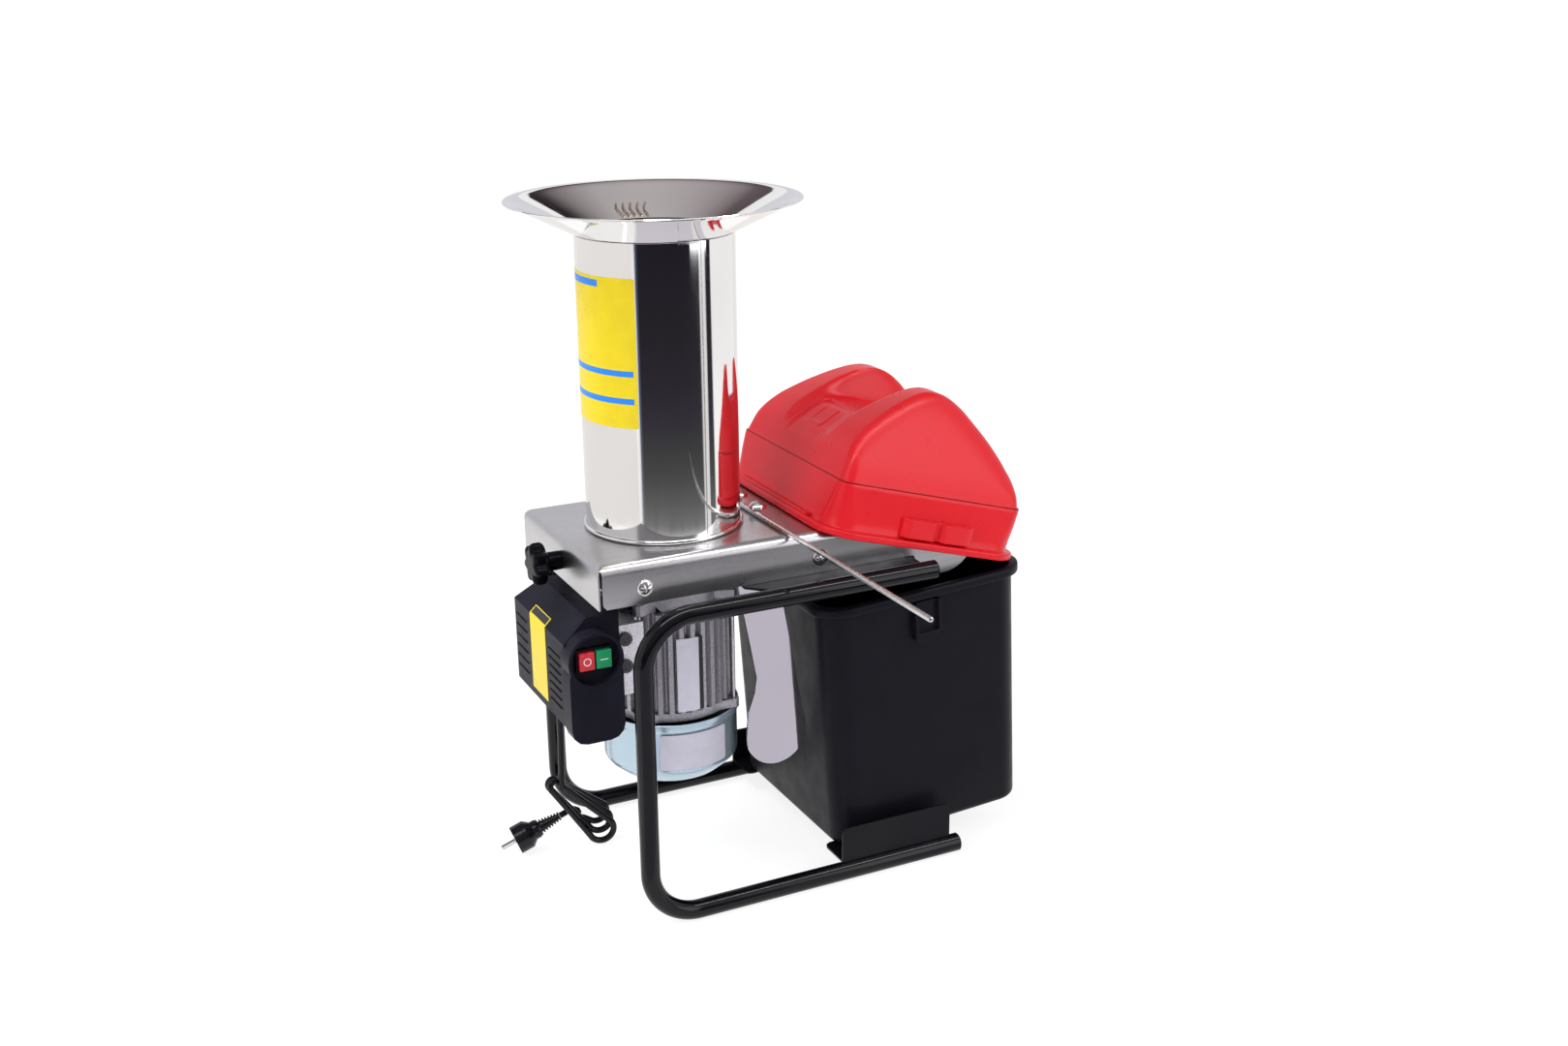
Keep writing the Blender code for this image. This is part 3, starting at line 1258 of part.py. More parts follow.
def hank_points():
    """Centre line of the tied hank: long loops side by side, each a little smaller than the last."""
    along_axis = Vector(HANK_ALONG).normalized()
    across = (Vector(HANK_ACROSS) - along_axis * Vector(HANK_ACROSS).dot(along_axis)).normalized()
    stack = along_axis.cross(across).normalized()
    points = []
    for i in range(round(HANK_TURNS * LOOP_STEPS) + 1):
        turn = max(i, 0.8) / LOOP_STEPS
        size = 1 - HANK_SHRINK * turn
        x, y = loop_place(turn * LOOP_STEPS, HANK_BIG_R * size, HANK_SMALL_R, HANK_SPAN * size)
        swing = HANK_SWING * (turn - HANK_EASE)
        x, y = x * cos(swing) - y * sin(swing), x * sin(swing) + y * cos(swing)
        depth = (HANK_TURNS / 2 - turn) * HANK_PITCH
        points.append(Vector(HANK_TIP) + along_axis * x + across * y + stack * depth)
    return points


def cord_tube(name, points, material, resolution):
    """A solid round tube along a row of points."""
    curve = bpy.data.curves.new(name, "CURVE")
    curve.dimensions = "3D"
    line = curve.splines.new("POLY")
    line.points.add(len(points) - 1)
    for slot, point in zip(line.points, points):
        slot.co = (*point, 1.0)
    curve.bevel_depth = CORD_D / 2
    curve.bevel_resolution = resolution
    curve.use_fill_caps = True
    curve.materials.append(material)
    made = bpy.data.objects.new(name, curve)
    bpy.context.scene.collection.objects.link(made)
    made.parent = bpy.data.objects["machine"]
    return made


def least_gap(points):
    """Smallest clear distance between stretches of a cord that aren't neighbours."""
    reach = 3 * CORD_D
    lengths = [0.0]
    for before, after in zip(points, points[1:]):
        lengths.append(lengths[-1] + (after - before).length)
    pairs = ((points[i] - points[j]).length for i in range(len(points)) for j in range(i)
             if lengths[i] - lengths[j] > reach)
    return min(pairs) - CORD_D


def cord(material):
    """The cord from the gland to the plug, as its drop, its tied hank and its lead."""
    hank = hank_points()
    entry = (hank[1] - hank[0]).normalized()
    onward = (hank[-1] - hank[-2]).normalized()
    top = Vector((GLAND_X, GLAND_Y, BOX_LOW - GLAND_L - GAP))
    foot = hank[0] - entry * CORD_D
    leave = hank[-1] + onward * CORD_D
    end = plug_start() - plug_axis() * GAP
    drop = [top, top - Vector((0, 0, CORD_D))] + [Vector(p) for p in DROP_ROUTE] + [foot - entry * CORD_D, foot]
    lead = [leave, leave + onward * CORD_D] + [Vector(p) for p in LEAD_ROUTE] + [end - plug_axis() * CORD_D, end]
    drop_points = smooth_curve(drop, CORD_STEP)
    lead_points = smooth_curve(lead, CORD_STEP)
    loops = [foot + entry * GAP] + hank + [leave - onward * GAP]
    cord_tube("cord_drop", drop_points, material, 2)
    cord_tube("cord_hank", loops, material, 1)
    cord_tube("cord_lead", lead_points, material, 2)
    whole = drop_points + hank + lead_points
    length = sum((b - a).length for a, b in zip(whole, whole[1:]))
    print(f"cord length {length:.3f} m, least gap of the hank to itself {least_gap(hank) * 1000:.2f} mm")


def plug_axis():
    """Direction in which the plug points, down to the ground."""
    return Vector((cos(PLUG_YAW) * cos(PLUG_DIP), sin(PLUG_YAW) * cos(PLUG_DIP), -sin(PLUG_DIP)))


def plug_start():
    """Where the strain relief begins, with the edge of the plug's face just clear of the ground."""
    height = PLUG_R * cos(PLUG_DIP) + (RELIEF_L + PLUG_L) * sin(PLUG_DIP) + GAP
    return Vector((*PLUG_START, height))


def gland(material):
    """Cord gland under the switch box."""
    bm = bmesh.new()
    top = BOX_LOW - GAP
    low = BOX_LOW - GLAND_L
    profile = [(0.0, top), (GLAND_R, top), (GLAND_R, top - GLAND_L * 0.5), (GLAND_R * 0.7, low), (0.0, low)]
    turned(bm, profile, 16, Matrix.Translation((GLAND_X, GLAND_Y, 0.0)))
    return publish("cord_gland", bm, material)


def plug(rubber, steel):
    """Moulded plug with its ribbed strain relief and earth notches, and its two pins."""
    axis = plug_axis()
    relief = bmesh.new()
    pitch = RELIEF_L / RELIEF_RIBS
    profile = [(0.0, 0.0)]
    for i in range(RELIEF_RIBS):
        rib = CORD_D / 2 + 0.0012 + (RELIEF_R - CORD_D / 2) * (i + 1) / RELIEF_RIBS
        neck = rib - 0.0018
        z = i * pitch
        profile += [(rib, z), (rib, z + pitch * 0.55), (neck, z + pitch * 0.56), (neck, z + pitch * 0.99)]
    overlap = pitch / 2
    profile += [(PLUG_GRIP_R * 0.6, RELIEF_L), (PLUG_GRIP_R * 0.6, RELIEF_L + overlap), (0.0, RELIEF_L + overlap)]
    turned(relief, profile[::-1], 12, along(axis, plug_start()))
    body = bmesh.new()
    start = plug_start() + axis * RELIEF_L
    neck = PLUG_L - PLUG_FACE_L
    shape = [(0.0, 0.0), (PLUG_GRIP_R * 0.85, 0.0), (PLUG_GRIP_R, neck * 0.25), (PLUG_GRIP_R, neck * 0.55), (PLUG_R, neck),
             (PLUG_R, PLUG_L), (0.0, PLUG_L)]
    place = along(axis, start)
    turned(body, shape[::-1], 24, place)
    made = publish("plug_body", body, rubber)
    boolean(made, relief, "UNION")
    turn = Matrix.Rotation(PLUG_YAW, 4, "Z") @ Matrix.Rotation(PLUG_DIP, 4, "Y") @ Matrix.Rotation(PLUG_ROLL, 4, "X")
    notches = bmesh.new()
    frame = Matrix.Translation(start) @ turn
    for side in (-1, 1):
        z = sorted((side * (PLUG_R - 0.0035), side * (PLUG_R + 0.002)))
        block(notches, (neck - 0.002, PLUG_L + 0.002), (-EARTH_NOTCH / 2, EARTH_NOTCH / 2), z, frame)
    boolean(made, notches)
    end = PLUG_L + GAP
    tip = PIN_R * 0.4
    for name, side in (("left_plug_pin", -1), ("right_plug_pin", 1)):
        pin = bmesh.new()
        seat = frame @ Matrix.Translation((end, side * PIN_PITCH / 2, 0.0)) @ along((1, 0, 0))
        turned(pin, [(0.0, PIN_L), (PIN_R - tip, PIN_L), (PIN_R, PIN_L - tip), (PIN_R, 0.0), (0.0, 0.0)], 10, seat)
        publish(name, pin, steel)


# Whole machine

def centre_on_footprint(root, left_out):
    """Move the machine so that the origin is the middle of its footprint, cord left out."""
    bpy.context.view_layer.update()
    graph = bpy.context.evaluated_depsgraph_get()
    corners = []
    for thing in bpy.data.objects:
        if thing.type != "MESH" or thing.hide_render or thing.name in left_out:
            continue
        solid = thing.evaluated_get(graph)
        corners += [solid.matrix_world @ vertex.co for vertex in solid.data.vertices]
    middle = [(min(c[i] for c in corners) + max(c[i] for c in corners)) / 2 for i in (0, 1)]
    floor = min(c[2] for c in corners)
    root.location = (-middle[0], -middle[1], -floor)
    print(f"machine axis at {-middle[0]:.5f}, {-middle[1]:.5f}, ground offset {-floor:.5f}")


def build():
    """Make every piece of the crusher."""
    clear_scene()
    root = bpy.data.objects.new("machine", None)
    bpy.context.scene.collection.objects.link(root)
    black = finish("gloss_black", (0.010, 0.010, 0.012), 0.22)
    brushed = finish("brushed_steel", (0.62, 0.60, 0.58), 0.35, 1.0)
    mirror = finish("polished_steel", (0.80, 0.80, 0.81), 0.06, 1.0)
    steel = finish("bright_steel", (0.70, 0.70, 0.70), 0.20, 1.0)
    cast = finish("cast_aluminium", (0.50, 0.50, 0.49), 0.50, 0.8)
    zinc = finish("blue_zinc", (0.52, 0.66, 0.74), 0.28, 0.9)
    core = finish("core_plates", (0.30, 0.20, 0.12), 0.50, 0.6)
    charcoal = finish("charcoal_plastic", (0.035, 0.035, 0.042), 0.45)
    moulded = finish("black_plastic", (0.012, 0.012, 0.015), 0.40)
    rubber = finish("black_rubber", (0.010, 0.010, 0.012), 0.55)
    red_skin = finish("red_plastic", (0.80, 0.020, 0.030), 0.30)
    stop_red = finish("stop_red", (0.60, 0.030, 0.040), 0.30)
    start_green = finish("start_green", (0.010, 0.30, 0.120), 0.30)

    for name, side in (("near", -1), ("far", 1)):
        frame_tube(f"{name}_frame_tube", side, black)
        frame_cap(f"{name}_upper_cap", side, UPPER_LEG_END, UPPER_LEG_Z, moulded)
        frame_cap(f"{name}_lower_cap", side, LOWER_LEG_END, LOWER_LEG_Z, moulded)
        bracket(f"{name}_bucket_bracket", side, black)
        rail(f"{name}_mounting_rail", side, black)
        side_bolt(f"{name}_left_bolt", side, BOLT_XS[0], steel)
        side_bolt(f"{name}_right_bolt", side, BOLT_XS[1], steel)
        rod_stud(f"{name}_rod_stud", side, steel)
    chassis(brushed)
    chamber_floor(brushed)
    chamber_ring(brushed)
    outlet_chute(brushed)
    tongue(mirror)

    lift = carrier("hopper_lift", (0.0, 0.0, CHASSIS_TOP))
    hopper_tube(mirror, lift)
    hopper_rim(mirror, lift)
    foot_ring(mirror, lift)

    spin = carrier("rotor_axis", (0.0, 0.0, DISC_Z))
    rotor_parts(steel, core, charcoal, spin)
    end_bells(cast)
    stator_housing(cast)
    motor_inside(steel, core)
    for angle in TIE_ANGLES:
        tie_rod(f"tie_rod_{angle}", angle, steel)
    fan_cover(zinc)
    terminal_pad(cast)

    switch_cover(charcoal)
    stop_axis = carrier("stop_axis", (HEAD_X - BUTTON_PITCH / 2, HEAD_NEAR, HEAD_Z))
    start_axis = carrier("start_axis", (HEAD_X + BUTTON_PITCH / 2, HEAD_NEAR, HEAD_Z))
    switch_parts(moulded, stop_red, start_green, stop_axis, start_axis)
    star_knob(moulded, steel, carrier("knob_axis", (CHASSIS_LEFT, 0.0, KNOB_Z)))
    rod(steel, carrier("rod_axis", (ROD_X, 0.0, ROD_Z)))

    bucket(moulded, carrier("bucket_runner", (BUCKET_X, 0.0, BUCKET_Z), -BUCKET_LEAN))
    lid = carrier("hood_lift", (HOOD_X, 0.0, HOOD_Z), HOOD_PITCH)
    hood(red_skin, lid)

    gland(rubber)
    cord(rubber)
    plug(rubber, steel)
    centre_on_footprint(root, ("cord_gland", "plug_body", "left_plug_pin", "right_plug_pin"))


build()
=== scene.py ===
"""Looks of the electric fruit crusher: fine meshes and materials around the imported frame.

Shapes are written in machine coordinates, in metres: Z is the motor's shaft axis, X runs
towards the bucket and -Y is the near side. SHIFT takes them to the frame's own origin.
"""
from math import acos, asin, cos, pi, radians, sin, sqrt, tan

import bmesh
import bpy
from mathutils import Matrix, Vector

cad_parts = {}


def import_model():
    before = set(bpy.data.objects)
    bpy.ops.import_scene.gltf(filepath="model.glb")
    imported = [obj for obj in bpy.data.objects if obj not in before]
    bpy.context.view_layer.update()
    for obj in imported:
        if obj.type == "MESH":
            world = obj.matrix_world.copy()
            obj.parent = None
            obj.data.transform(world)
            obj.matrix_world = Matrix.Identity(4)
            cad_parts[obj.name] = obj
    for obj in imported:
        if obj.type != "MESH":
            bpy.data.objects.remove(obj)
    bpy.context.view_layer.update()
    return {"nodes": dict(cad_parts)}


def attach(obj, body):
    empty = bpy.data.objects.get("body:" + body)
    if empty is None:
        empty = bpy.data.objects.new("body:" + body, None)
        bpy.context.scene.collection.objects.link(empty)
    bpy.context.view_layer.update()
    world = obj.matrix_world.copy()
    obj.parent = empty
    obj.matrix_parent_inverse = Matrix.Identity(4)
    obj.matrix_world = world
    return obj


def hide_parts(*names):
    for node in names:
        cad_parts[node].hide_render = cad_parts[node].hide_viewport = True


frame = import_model()
SHIFT = Vector((-0.12839, 0.13008, 0.0))
GAP = 0.0003
CENTRE = (0.0, 0.0)
SIDES = (("near", -1), ("far", 1))
SAME_POINT = 1e-6
SHARP = radians(30)
CUT_JOIN, CUT_FLAT = 0.00004, 0.00002


def add_object(name, data):
    """A new object in the scene."""
    obj = bpy.data.objects.new(name, data)
    bpy.context.scene.collection.objects.link(obj)
    return obj


# Camera

CAMERA_AT = Vector((-0.7492, -1.8365, 1.0833))
CAMERA_RIGHT = Vector((0.89532, -0.44533, -0.00918))
CAMERA_UP = Vector((0.14729, 0.27655, 0.94965))
CAMERA_LENS, SENSOR_WIDTH = 40.73, 36.0


def camera():
    """The photograph's viewpoint."""
    data = bpy.data.cameras.new("camera")
    data.lens = CAMERA_LENS
    data.sensor_width = SENSOR_WIDTH
    data.clip_start, data.clip_end = 0.05, 60.0
    obj = add_object("camera", data)
    turn = Matrix((CAMERA_RIGHT, CAMERA_UP, CAMERA_RIGHT.cross(CAMERA_UP))).transposed().to_4x4()
    obj.matrix_world = Matrix.Translation(CAMERA_AT + SHIFT) @ turn
    bpy.context.scene.camera = obj


camera()


# Shape helpers

def even(first, last, count):
    """Evenly spaced numbers, both ends included."""
    return [first + (last - first) * i / count for i in range(count + 1)]


def span(count, start=0.0):
    """Equally spaced angles round a full turn."""
    return [start + 2 * pi * i / count for i in range(count)]


def polar(radius, angle, centre=CENTRE):
    """The point at an angle and a distance from a centre."""
    return centre[0] + radius * cos(angle), centre[1] + radius * sin(angle)


def arc(centre, radius, first, last, steps):
    """Points of an arc from one angle to another, both ends included."""
    return [polar(radius, a, centre) for a in even(first, last, steps)]


def circle(radius, sides, start=0.0):
    """Points of a circle, counter-clockwise."""
    return [polar(radius, a) for a in span(sides, start)]


def corners(x, y):
    """Corners of a rectangle from its ranges, counter-clockwise."""
    return [(x[0], y[0]), (x[1], y[0]), (x[1], y[1]), (x[0], y[1])]


def rounded(x, y, radius, turn_steps, side_steps=(1, 1)):
    """A rectangle with round corners from its far right one, its sides along X and Y cut into steps."""
    middles = corners((x[0] + radius, x[1] - radius), (y[0] + radius, y[1] - radius))
    middles = [middles[2], middles[3], middles[0], middles[1]]
    points = []
    for i, middle in enumerate(middles):
        last = (i + 1) * pi / 2
        points += arc(middle, radius, i * pi / 2, last, turn_steps)
        x0, y0 = points[-1]
        x1, y1 = polar(radius, last, middles[(i + 1) % 4])
        for share in even(0.0, 1.0, side_steps[i % 2])[1:-1]:
            points.append((x0 + (x1 - x0) * share, y0 + (y1 - y0) * share))
    return points


def level_at(z, outline):
    """An outline laid at a height."""
    return [(x, y, z) for x, y in outline]


def flank(side, near, far):
    """The range between two distances from the middle plane, on one side of it."""
    return sorted((side * near, side * far))


def bridge(bm, first, second):
    """Skin two rings, either of which may be a single point."""
    count = max(len(first), len(second))
    for i in range(count):
        j = (i + 1) % count
        corners = [first[i], first[j]] if len(first) > 1 else [first[0]]
        corners += [second[j], second[i]] if len(second) > 1 else [second[0]]
        if len(corners) > 2:
            bm.faces.new(corners)


def turned(bm, profile, sides, place=Matrix(), closed=False):
    """A surface of revolution about Z from radius and height pairs."""
    rings = []
    for radius, height in profile:
        ring = circle(radius, sides) if radius > SAME_POINT else [CENTRE]
        rings.append([bm.verts.new(place @ Vector((x, y, height))) for x, y in ring])
    for first, second in zip(rings, rings[1:]):
        bridge(bm, first, second)
    if closed:
        bridge(bm, rings[-1], rings[0])


def loft(bm, rings, place=Matrix(), closed=False, capped=True):
    """Skin a row of equal rings."""
    loops = [[bm.verts.new(place @ Vector(point)) for point in ring] for ring in rings]
    for first, second in zip(loops, loops[1:]):
        bridge(bm, first, second)
    if closed:
        bridge(bm, loops[-1], loops[0])
    elif capped:
        bm.faces.new(loops[0])
        bm.faces.new(loops[-1])
    return loops


def slab(bm, outer, inner):
    """Skin the space between two equal grids of points, given as rows of columns."""
    loops = loft(bm, [over + under[::-1] for over, under in zip(outer, inner)], capped=False)
    for loop in (loops[0], loops[-1]):
        for k in range(len(outer[0]) - 1):
            bm.faces.new((loop[k], loop[k + 1], loop[-k - 2], loop[-k - 1]))


def plate(bm, outline, low, high, holes=(), place=Matrix()):
    """A flat plate between two heights from an outline in X and Y, with holes."""
    flat = bmesh.new()
    edges = []
    for loop in (outline, *holes):
        points = [flat.verts.new((x, y, 0.0)) for x, y in loop]
        edges += [flat.edges.new(pair) for pair in zip(points, points[1:] + points[:1])]
    flat.verts.index_update()
    bmesh.ops.triangle_fill(flat, use_beauty=True, use_dissolve=True, edges=edges, normal=(0.0, 0.0, 1.0))
    layers = [[bm.verts.new(place @ Vector((v.co.x, v.co.y, z))) for v in flat.verts] for z in (low, high)]
    for face in flat.faces:
        ids = [v.index for v in face.verts]
        bm.faces.new([layers[0][i] for i in reversed(ids)])
        bm.faces.new([layers[1][i] for i in ids])
    for edge in edges:
        a, b = (v.index for v in edge.verts)
        bm.faces.new((layers[0][a], layers[0][b], layers[1][b], layers[1][a]))
    flat.free()


def block(bm, x, y, z, place=Matrix()):
    """A box from its ranges."""
    plate(bm, corners(x, y), *z, place=place)


def along(axis, at):
    """A placing matrix that turns Z towards an axis."""
    turn = Vector((0.0, 0.0, 1.0)).rotation_difference(Vector(axis)).to_matrix().to_4x4()
    return Matrix.Translation(at) @ turn


def upright(y=0.0):
    """A placing matrix for outlines in X and Z, extruded along Y from y."""
    return Matrix(((1, 0, 0, 0), (0, 0, 1, y), (0, 1, 0, 0), (0, 0, 0, 1)))


def sweep(bm, path, radius, sides):
    """A round tube along a row of points, with its rings kept in line."""
    rings = []
    side = None
    for i, point in enumerate(path):
        before = (point - path[i - 1]) if i else (path[1] - path[0])
        after = (path[i + 1] - point) if i + 1 < len(path) else before
        heading = (before.normalized() + after.normalized()).normalized()
        if side is None:
            side = heading.orthogonal().normalized()
        side = (side - heading * side.dot(heading)).normalized()
        other = heading.cross(side)
        rings.append([point + side * radius * cos(a) + other * radius * sin(a) for a in span(sides)])
    loft(bm, rings)


def soften(obj, width, steps=2, angle=34):
    """Round a piece's sharp edges."""
    mod = obj.modifiers.new("edges", "BEVEL")
    mod.width = width
    mod.segments = steps
    mod.limit_method = "ANGLE"
    mod.angle_limit = radians(angle)
    mod.harden_normals = True


def join_close(obj, distance):
    """Join points that lie closer together than a distance."""
    weld = obj.modifiers.new("weld", "WELD")
    weld.merge_threshold = distance


def piece(name, bm, material, body="stand", slot=None, replaces=None, bevel=0.0, steps=2, angle=30,
          place=Matrix()):
    """A finished piece of the machine, riding on its body."""
    bmesh.ops.remove_doubles(bm, verts=bm.verts, dist=SAME_POINT)
    bmesh.ops.recalc_face_normals(bm, faces=bm.faces)
    mesh = bpy.data.meshes.new(name)
    bm.to_mesh(mesh)
    bm.free()
    mesh.materials.append(material)
    mesh.shade_smooth()
    obj = add_object(name, mesh)
    obj.matrix_world = Matrix.Translation(SHIFT) @ place
    if bevel:
        soften(obj, bevel, steps)
    else:
        mesh.set_sharp_from_angle(angle=radians(angle))
    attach(obj, body)
    if replaces:
        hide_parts(replaces)
    return obj


def lathe(name, profile, sides, material, at=Matrix(), closed=False, **finish):
    """A turned piece of the machine."""
    bm = bmesh.new()
    turned(bm, profile, sides, at, closed)
    return piece(name, bm, material, **finish)


def cut_out(target, cutters):
    """Cut pieces out of another one and keep only the result."""
    for cutter in cutters:
        mod = target.modifiers.new("cut", "BOOLEAN")
        mod.object = cutter
        mod.operation = "DIFFERENCE"
        mod.solver = "EXACT"
    bpy.context.view_layer.update()
    done = bpy.data.meshes.new_from_object(target.evaluated_get(bpy.context.evaluated_depsgraph_get()))
    clean = bmesh.new()
    clean.from_mesh(done)
    bmesh.ops.remove_doubles(clean, verts=clean.verts, dist=CUT_JOIN)
    bmesh.ops.dissolve_degenerate(clean, edges=clean.edges, dist=CUT_FLAT)
    clean.to_mesh(done)
    clean.free()
    target.modifiers.clear()
    target.data = done
    for cutter in cutters:
        bpy.data.objects.remove(cutter, do_unlink=True)
    done.shade_smooth()


def dress(node, material, bevel=0.0, steps=2):
    """Give a frame node its material, smooth round faces and softened edges."""
    obj = frame["nodes"][node]
    mesh = obj.data
    if mesh.materials:
        mesh.materials[0] = material
    else:
        mesh.materials.append(material)
    if "custom_normal" in mesh.attributes:
        mesh.attributes.remove(mesh.attributes["custom_normal"])
    mesh.shade_smooth()
    join_close(obj, 0.00002)
    if bevel:
        soften(obj, bevel, steps)
    else:
        split = obj.modifiers.new("split", "EDGE_SPLIT")
        split.split_angle = SHARP


# Material helpers

def add_node(tree, kind, inputs=None, **settings):
    """A new shader node: an input is a plain value or another node's output."""
    made = tree.nodes.new("ShaderNode" + kind)
    for key, value in settings.items():
        setattr(made, key, value)
    for key, value in (inputs or {}).items():
        if isinstance(value, bpy.types.NodeSocket):
            tree.links.new(value, made.inputs[key])
        else:
            made.inputs[key].default_value = value
    return made


def opaque(colour):
    """A colour with its alpha."""
    return (*colour, 1.0)


def scaled(colour, factor):
    """A colour made lighter or darker."""
    return tuple(min(c * factor, 1.0) for c in colour)


def blend(tree, first, second, factor=1.0, how="MIX"):
    """Two colours put together."""
    inputs = {"Factor": factor, "A": first, "B": second}
    return add_node(tree, "Mix", inputs, data_type="RGBA", blend_type=how).outputs["Result"]


def spread(tree, value, low=0.0, high=1.0, start=0.3, end=0.7):
    """A value brought from one range of numbers to another."""
    inputs = {"Value": value, "From Min": start, "From Max": end, "To Min": low, "To Max": high}
    return add_node(tree, "MapRange", inputs).outputs["Result"]


def sockets(mat):
    """The inputs of a material's shader."""
    return mat.node_tree.nodes["Principled BSDF"].inputs


def shader(name, colour, rough, metallic=0.0, specular=0.5):
    """A Principled material with its plain values set on the shader."""
    mat = bpy.data.materials.new(name)
    mat.use_nodes = True
    values = {"Base Color": opaque(colour), "Roughness": rough, "Metallic": metallic,
              "Specular IOR Level": specular}
    for key, value in values.items():
        sockets(mat)[key].default_value = value
    return mat


def noise(mat, scale, stretch=(1.0, 1.0, 1.0), detail=4.0):
    """A noise pattern laid over the piece, stretched along its axes."""
    tree = mat.node_tree
    coord = add_node(tree, "TexCoord")
    mapping = add_node(tree, "Mapping", {"Vector": coord.outputs["Object"], "Scale": stretch})
    inputs = {"Vector": mapping.outputs["Vector"], "Scale": scale, "Detail": detail}
    return add_node(tree, "TexNoise", inputs).outputs["Fac"]


def roughen(mat, value, low, high):
    """Let a pattern vary the roughness."""
    tree = mat.node_tree
    tree.links.new(spread(tree, value, low, high), sockets(mat)["Roughness"])


def tint(mat, value, first, second, start=0.3, end=0.7):
    """Let a pattern vary the colour between two values."""
    tree = mat.node_tree
    share = spread(tree, value, start=start, end=end)
    tree.links.new(blend(tree, opaque(first), opaque(second), share), sockets(mat)["Base Color"])


def emboss(mat, value, strength, distance):
    """Let a pattern raise the surface, on top of what already does."""
    socket = sockets(mat)["Normal"]
    inputs = {"Height": value, "Strength": strength, "Distance": distance}
    if socket.is_linked:
        inputs["Normal"] = socket.links[0].from_socket
    tree = mat.node_tree
    tree.links.new(add_node(tree, "Bump", inputs).outputs["Normal"], socket)


# Materials

def polished(name, base):
    """Mirror-polished stainless sheet, a little wavy, with faint polishing marks."""
    mat = shader(name, base, 0.05, 1.0)
    tint(mat, noise(mat, 6.0), scaled(base, 0.965), scaled(base, 1.045))
    roughen(mat, noise(mat, 14.0, (6.0, 6.0, 0.25), 6.0), 0.025, 0.085)
    emboss(mat, noise(mat, 1.0, (26.0, 26.0, 3.0), 2.0), 0.12, 0.0010)
    emboss(mat, noise(mat, 90.0, (14.0, 14.0, 0.2), 3.0), 0.05, 0.0001)
    return mat


def brushed():
    """Fine brushed stainless sheet, its grain along X."""
    base = (0.55, 0.54, 0.55)
    grain = (0.04, 1.0, 1.0)
    mat = shader("brushed_steel", base, 0.27, 1.0)
    tint(mat, noise(mat, 420.0, grain, 6.0), scaled(base, 0.94), scaled(base, 1.05))
    roughen(mat, noise(mat, 7.0, detail=5.0), 0.24, 0.31)
    emboss(mat, noise(mat, 900.0, grain, 3.0), 0.03, 0.00003)
    emboss(mat, noise(mat, 6.0, detail=2.0), 0.03, 0.0005)
    return mat


def bright(name, colour, low, high):
    """Turned or drawn steel with fine marks."""
    mat = shader(name, colour, 0.22, 1.0)
    tint(mat, noise(mat, 420.0, detail=5.0), scaled(colour, 0.90), scaled(colour, 1.06))
    roughen(mat, noise(mat, 160.0, detail=5.0), low, high)
    emboss(mat, noise(mat, 700.0, detail=2.0), 0.04, 0.00005)
    return mat


def turned_steel():
    """Finely turned steel of the bolt and stud heads."""
    mat = shader("radial_steel", (0.70, 0.69, 0.68), 0.2, 1.0)
    tint(mat, noise(mat, 700.0, detail=6.0), (0.62, 0.61, 0.60), (0.76, 0.75, 0.74))
    roughen(mat, noise(mat, 500.0, detail=4.0), 0.14, 0.24)
    emboss(mat, noise(mat, 1200.0, detail=3.0), 0.05, 0.00005)
    return mat


def gloss_paint():
    """Gloss black powder coat with a slight orange peel."""
    mat = shader("gloss_black", (0.0028, 0.0028, 0.0045), 0.07, specular=0.25)
    tint(mat, noise(mat, 30.0), (0.0022, 0.0022, 0.0038), (0.0036, 0.0036, 0.0052))
    roughen(mat, noise(mat, 60.0), 0.05, 0.09)
    emboss(mat, noise(mat, 420.0, detail=2.0), 0.03, 0.00006)
    return mat


def plastic(name, colour, shine, grain, depth=0.00008, strength=0.35, mottle=0.12, specular=0.5):
    """Moulded plastic with a fine grain and a little unevenness in colour and shine."""
    mat = shader(name, colour, sum(shine) / 2, specular=specular)
    tint(mat, noise(mat, 22.0), scaled(colour, 1 - mottle), scaled(colour, 1 + mottle))
    roughen(mat, noise(mat, 45.0, detail=5.0), *shine)
    emboss(mat, noise(mat, grain, detail=3.0), strength, depth)
    return mat


def casting(name, level):
    """Grey die-cast aluminium with a sandy skin and randomly darker and lighter patches."""
    dark, light = scaled((0.30, 0.295, 0.32), level), scaled((0.50, 0.49, 0.52), level)
    mat = shader(name, scaled((0.40, 0.39, 0.42), level), 0.45, 0.8)
    tint(mat, noise(mat, 480.0, detail=6.0), dark, light)
    roughen(mat, noise(mat, 160.0, detail=5.0), 0.32, 0.50)
    emboss(mat, noise(mat, 850.0, detail=4.0), 0.30, 0.0002)
    emboss(mat, noise(mat, 60.0, detail=3.0), 0.06, 0.0006)
    return mat


def zinc():
    """Pale blue passivated sheet with faint crystals."""
    mat = shader("blue_zinc", (0.47, 0.59, 0.69), 0.24, 0.7)
    cells = add_node(mat.node_tree, "TexVoronoi", {"Scale": 130.0}).outputs["Distance"]
    tint(mat, cells, (0.45, 0.57, 0.68), (0.50, 0.62, 0.71), 0.0, 0.8)
    roughen(mat, noise(mat, 60.0, detail=5.0), 0.18, 0.28)
    emboss(mat, noise(mat, 120.0, detail=3.0), 0.05, 0.0002)
    return mat


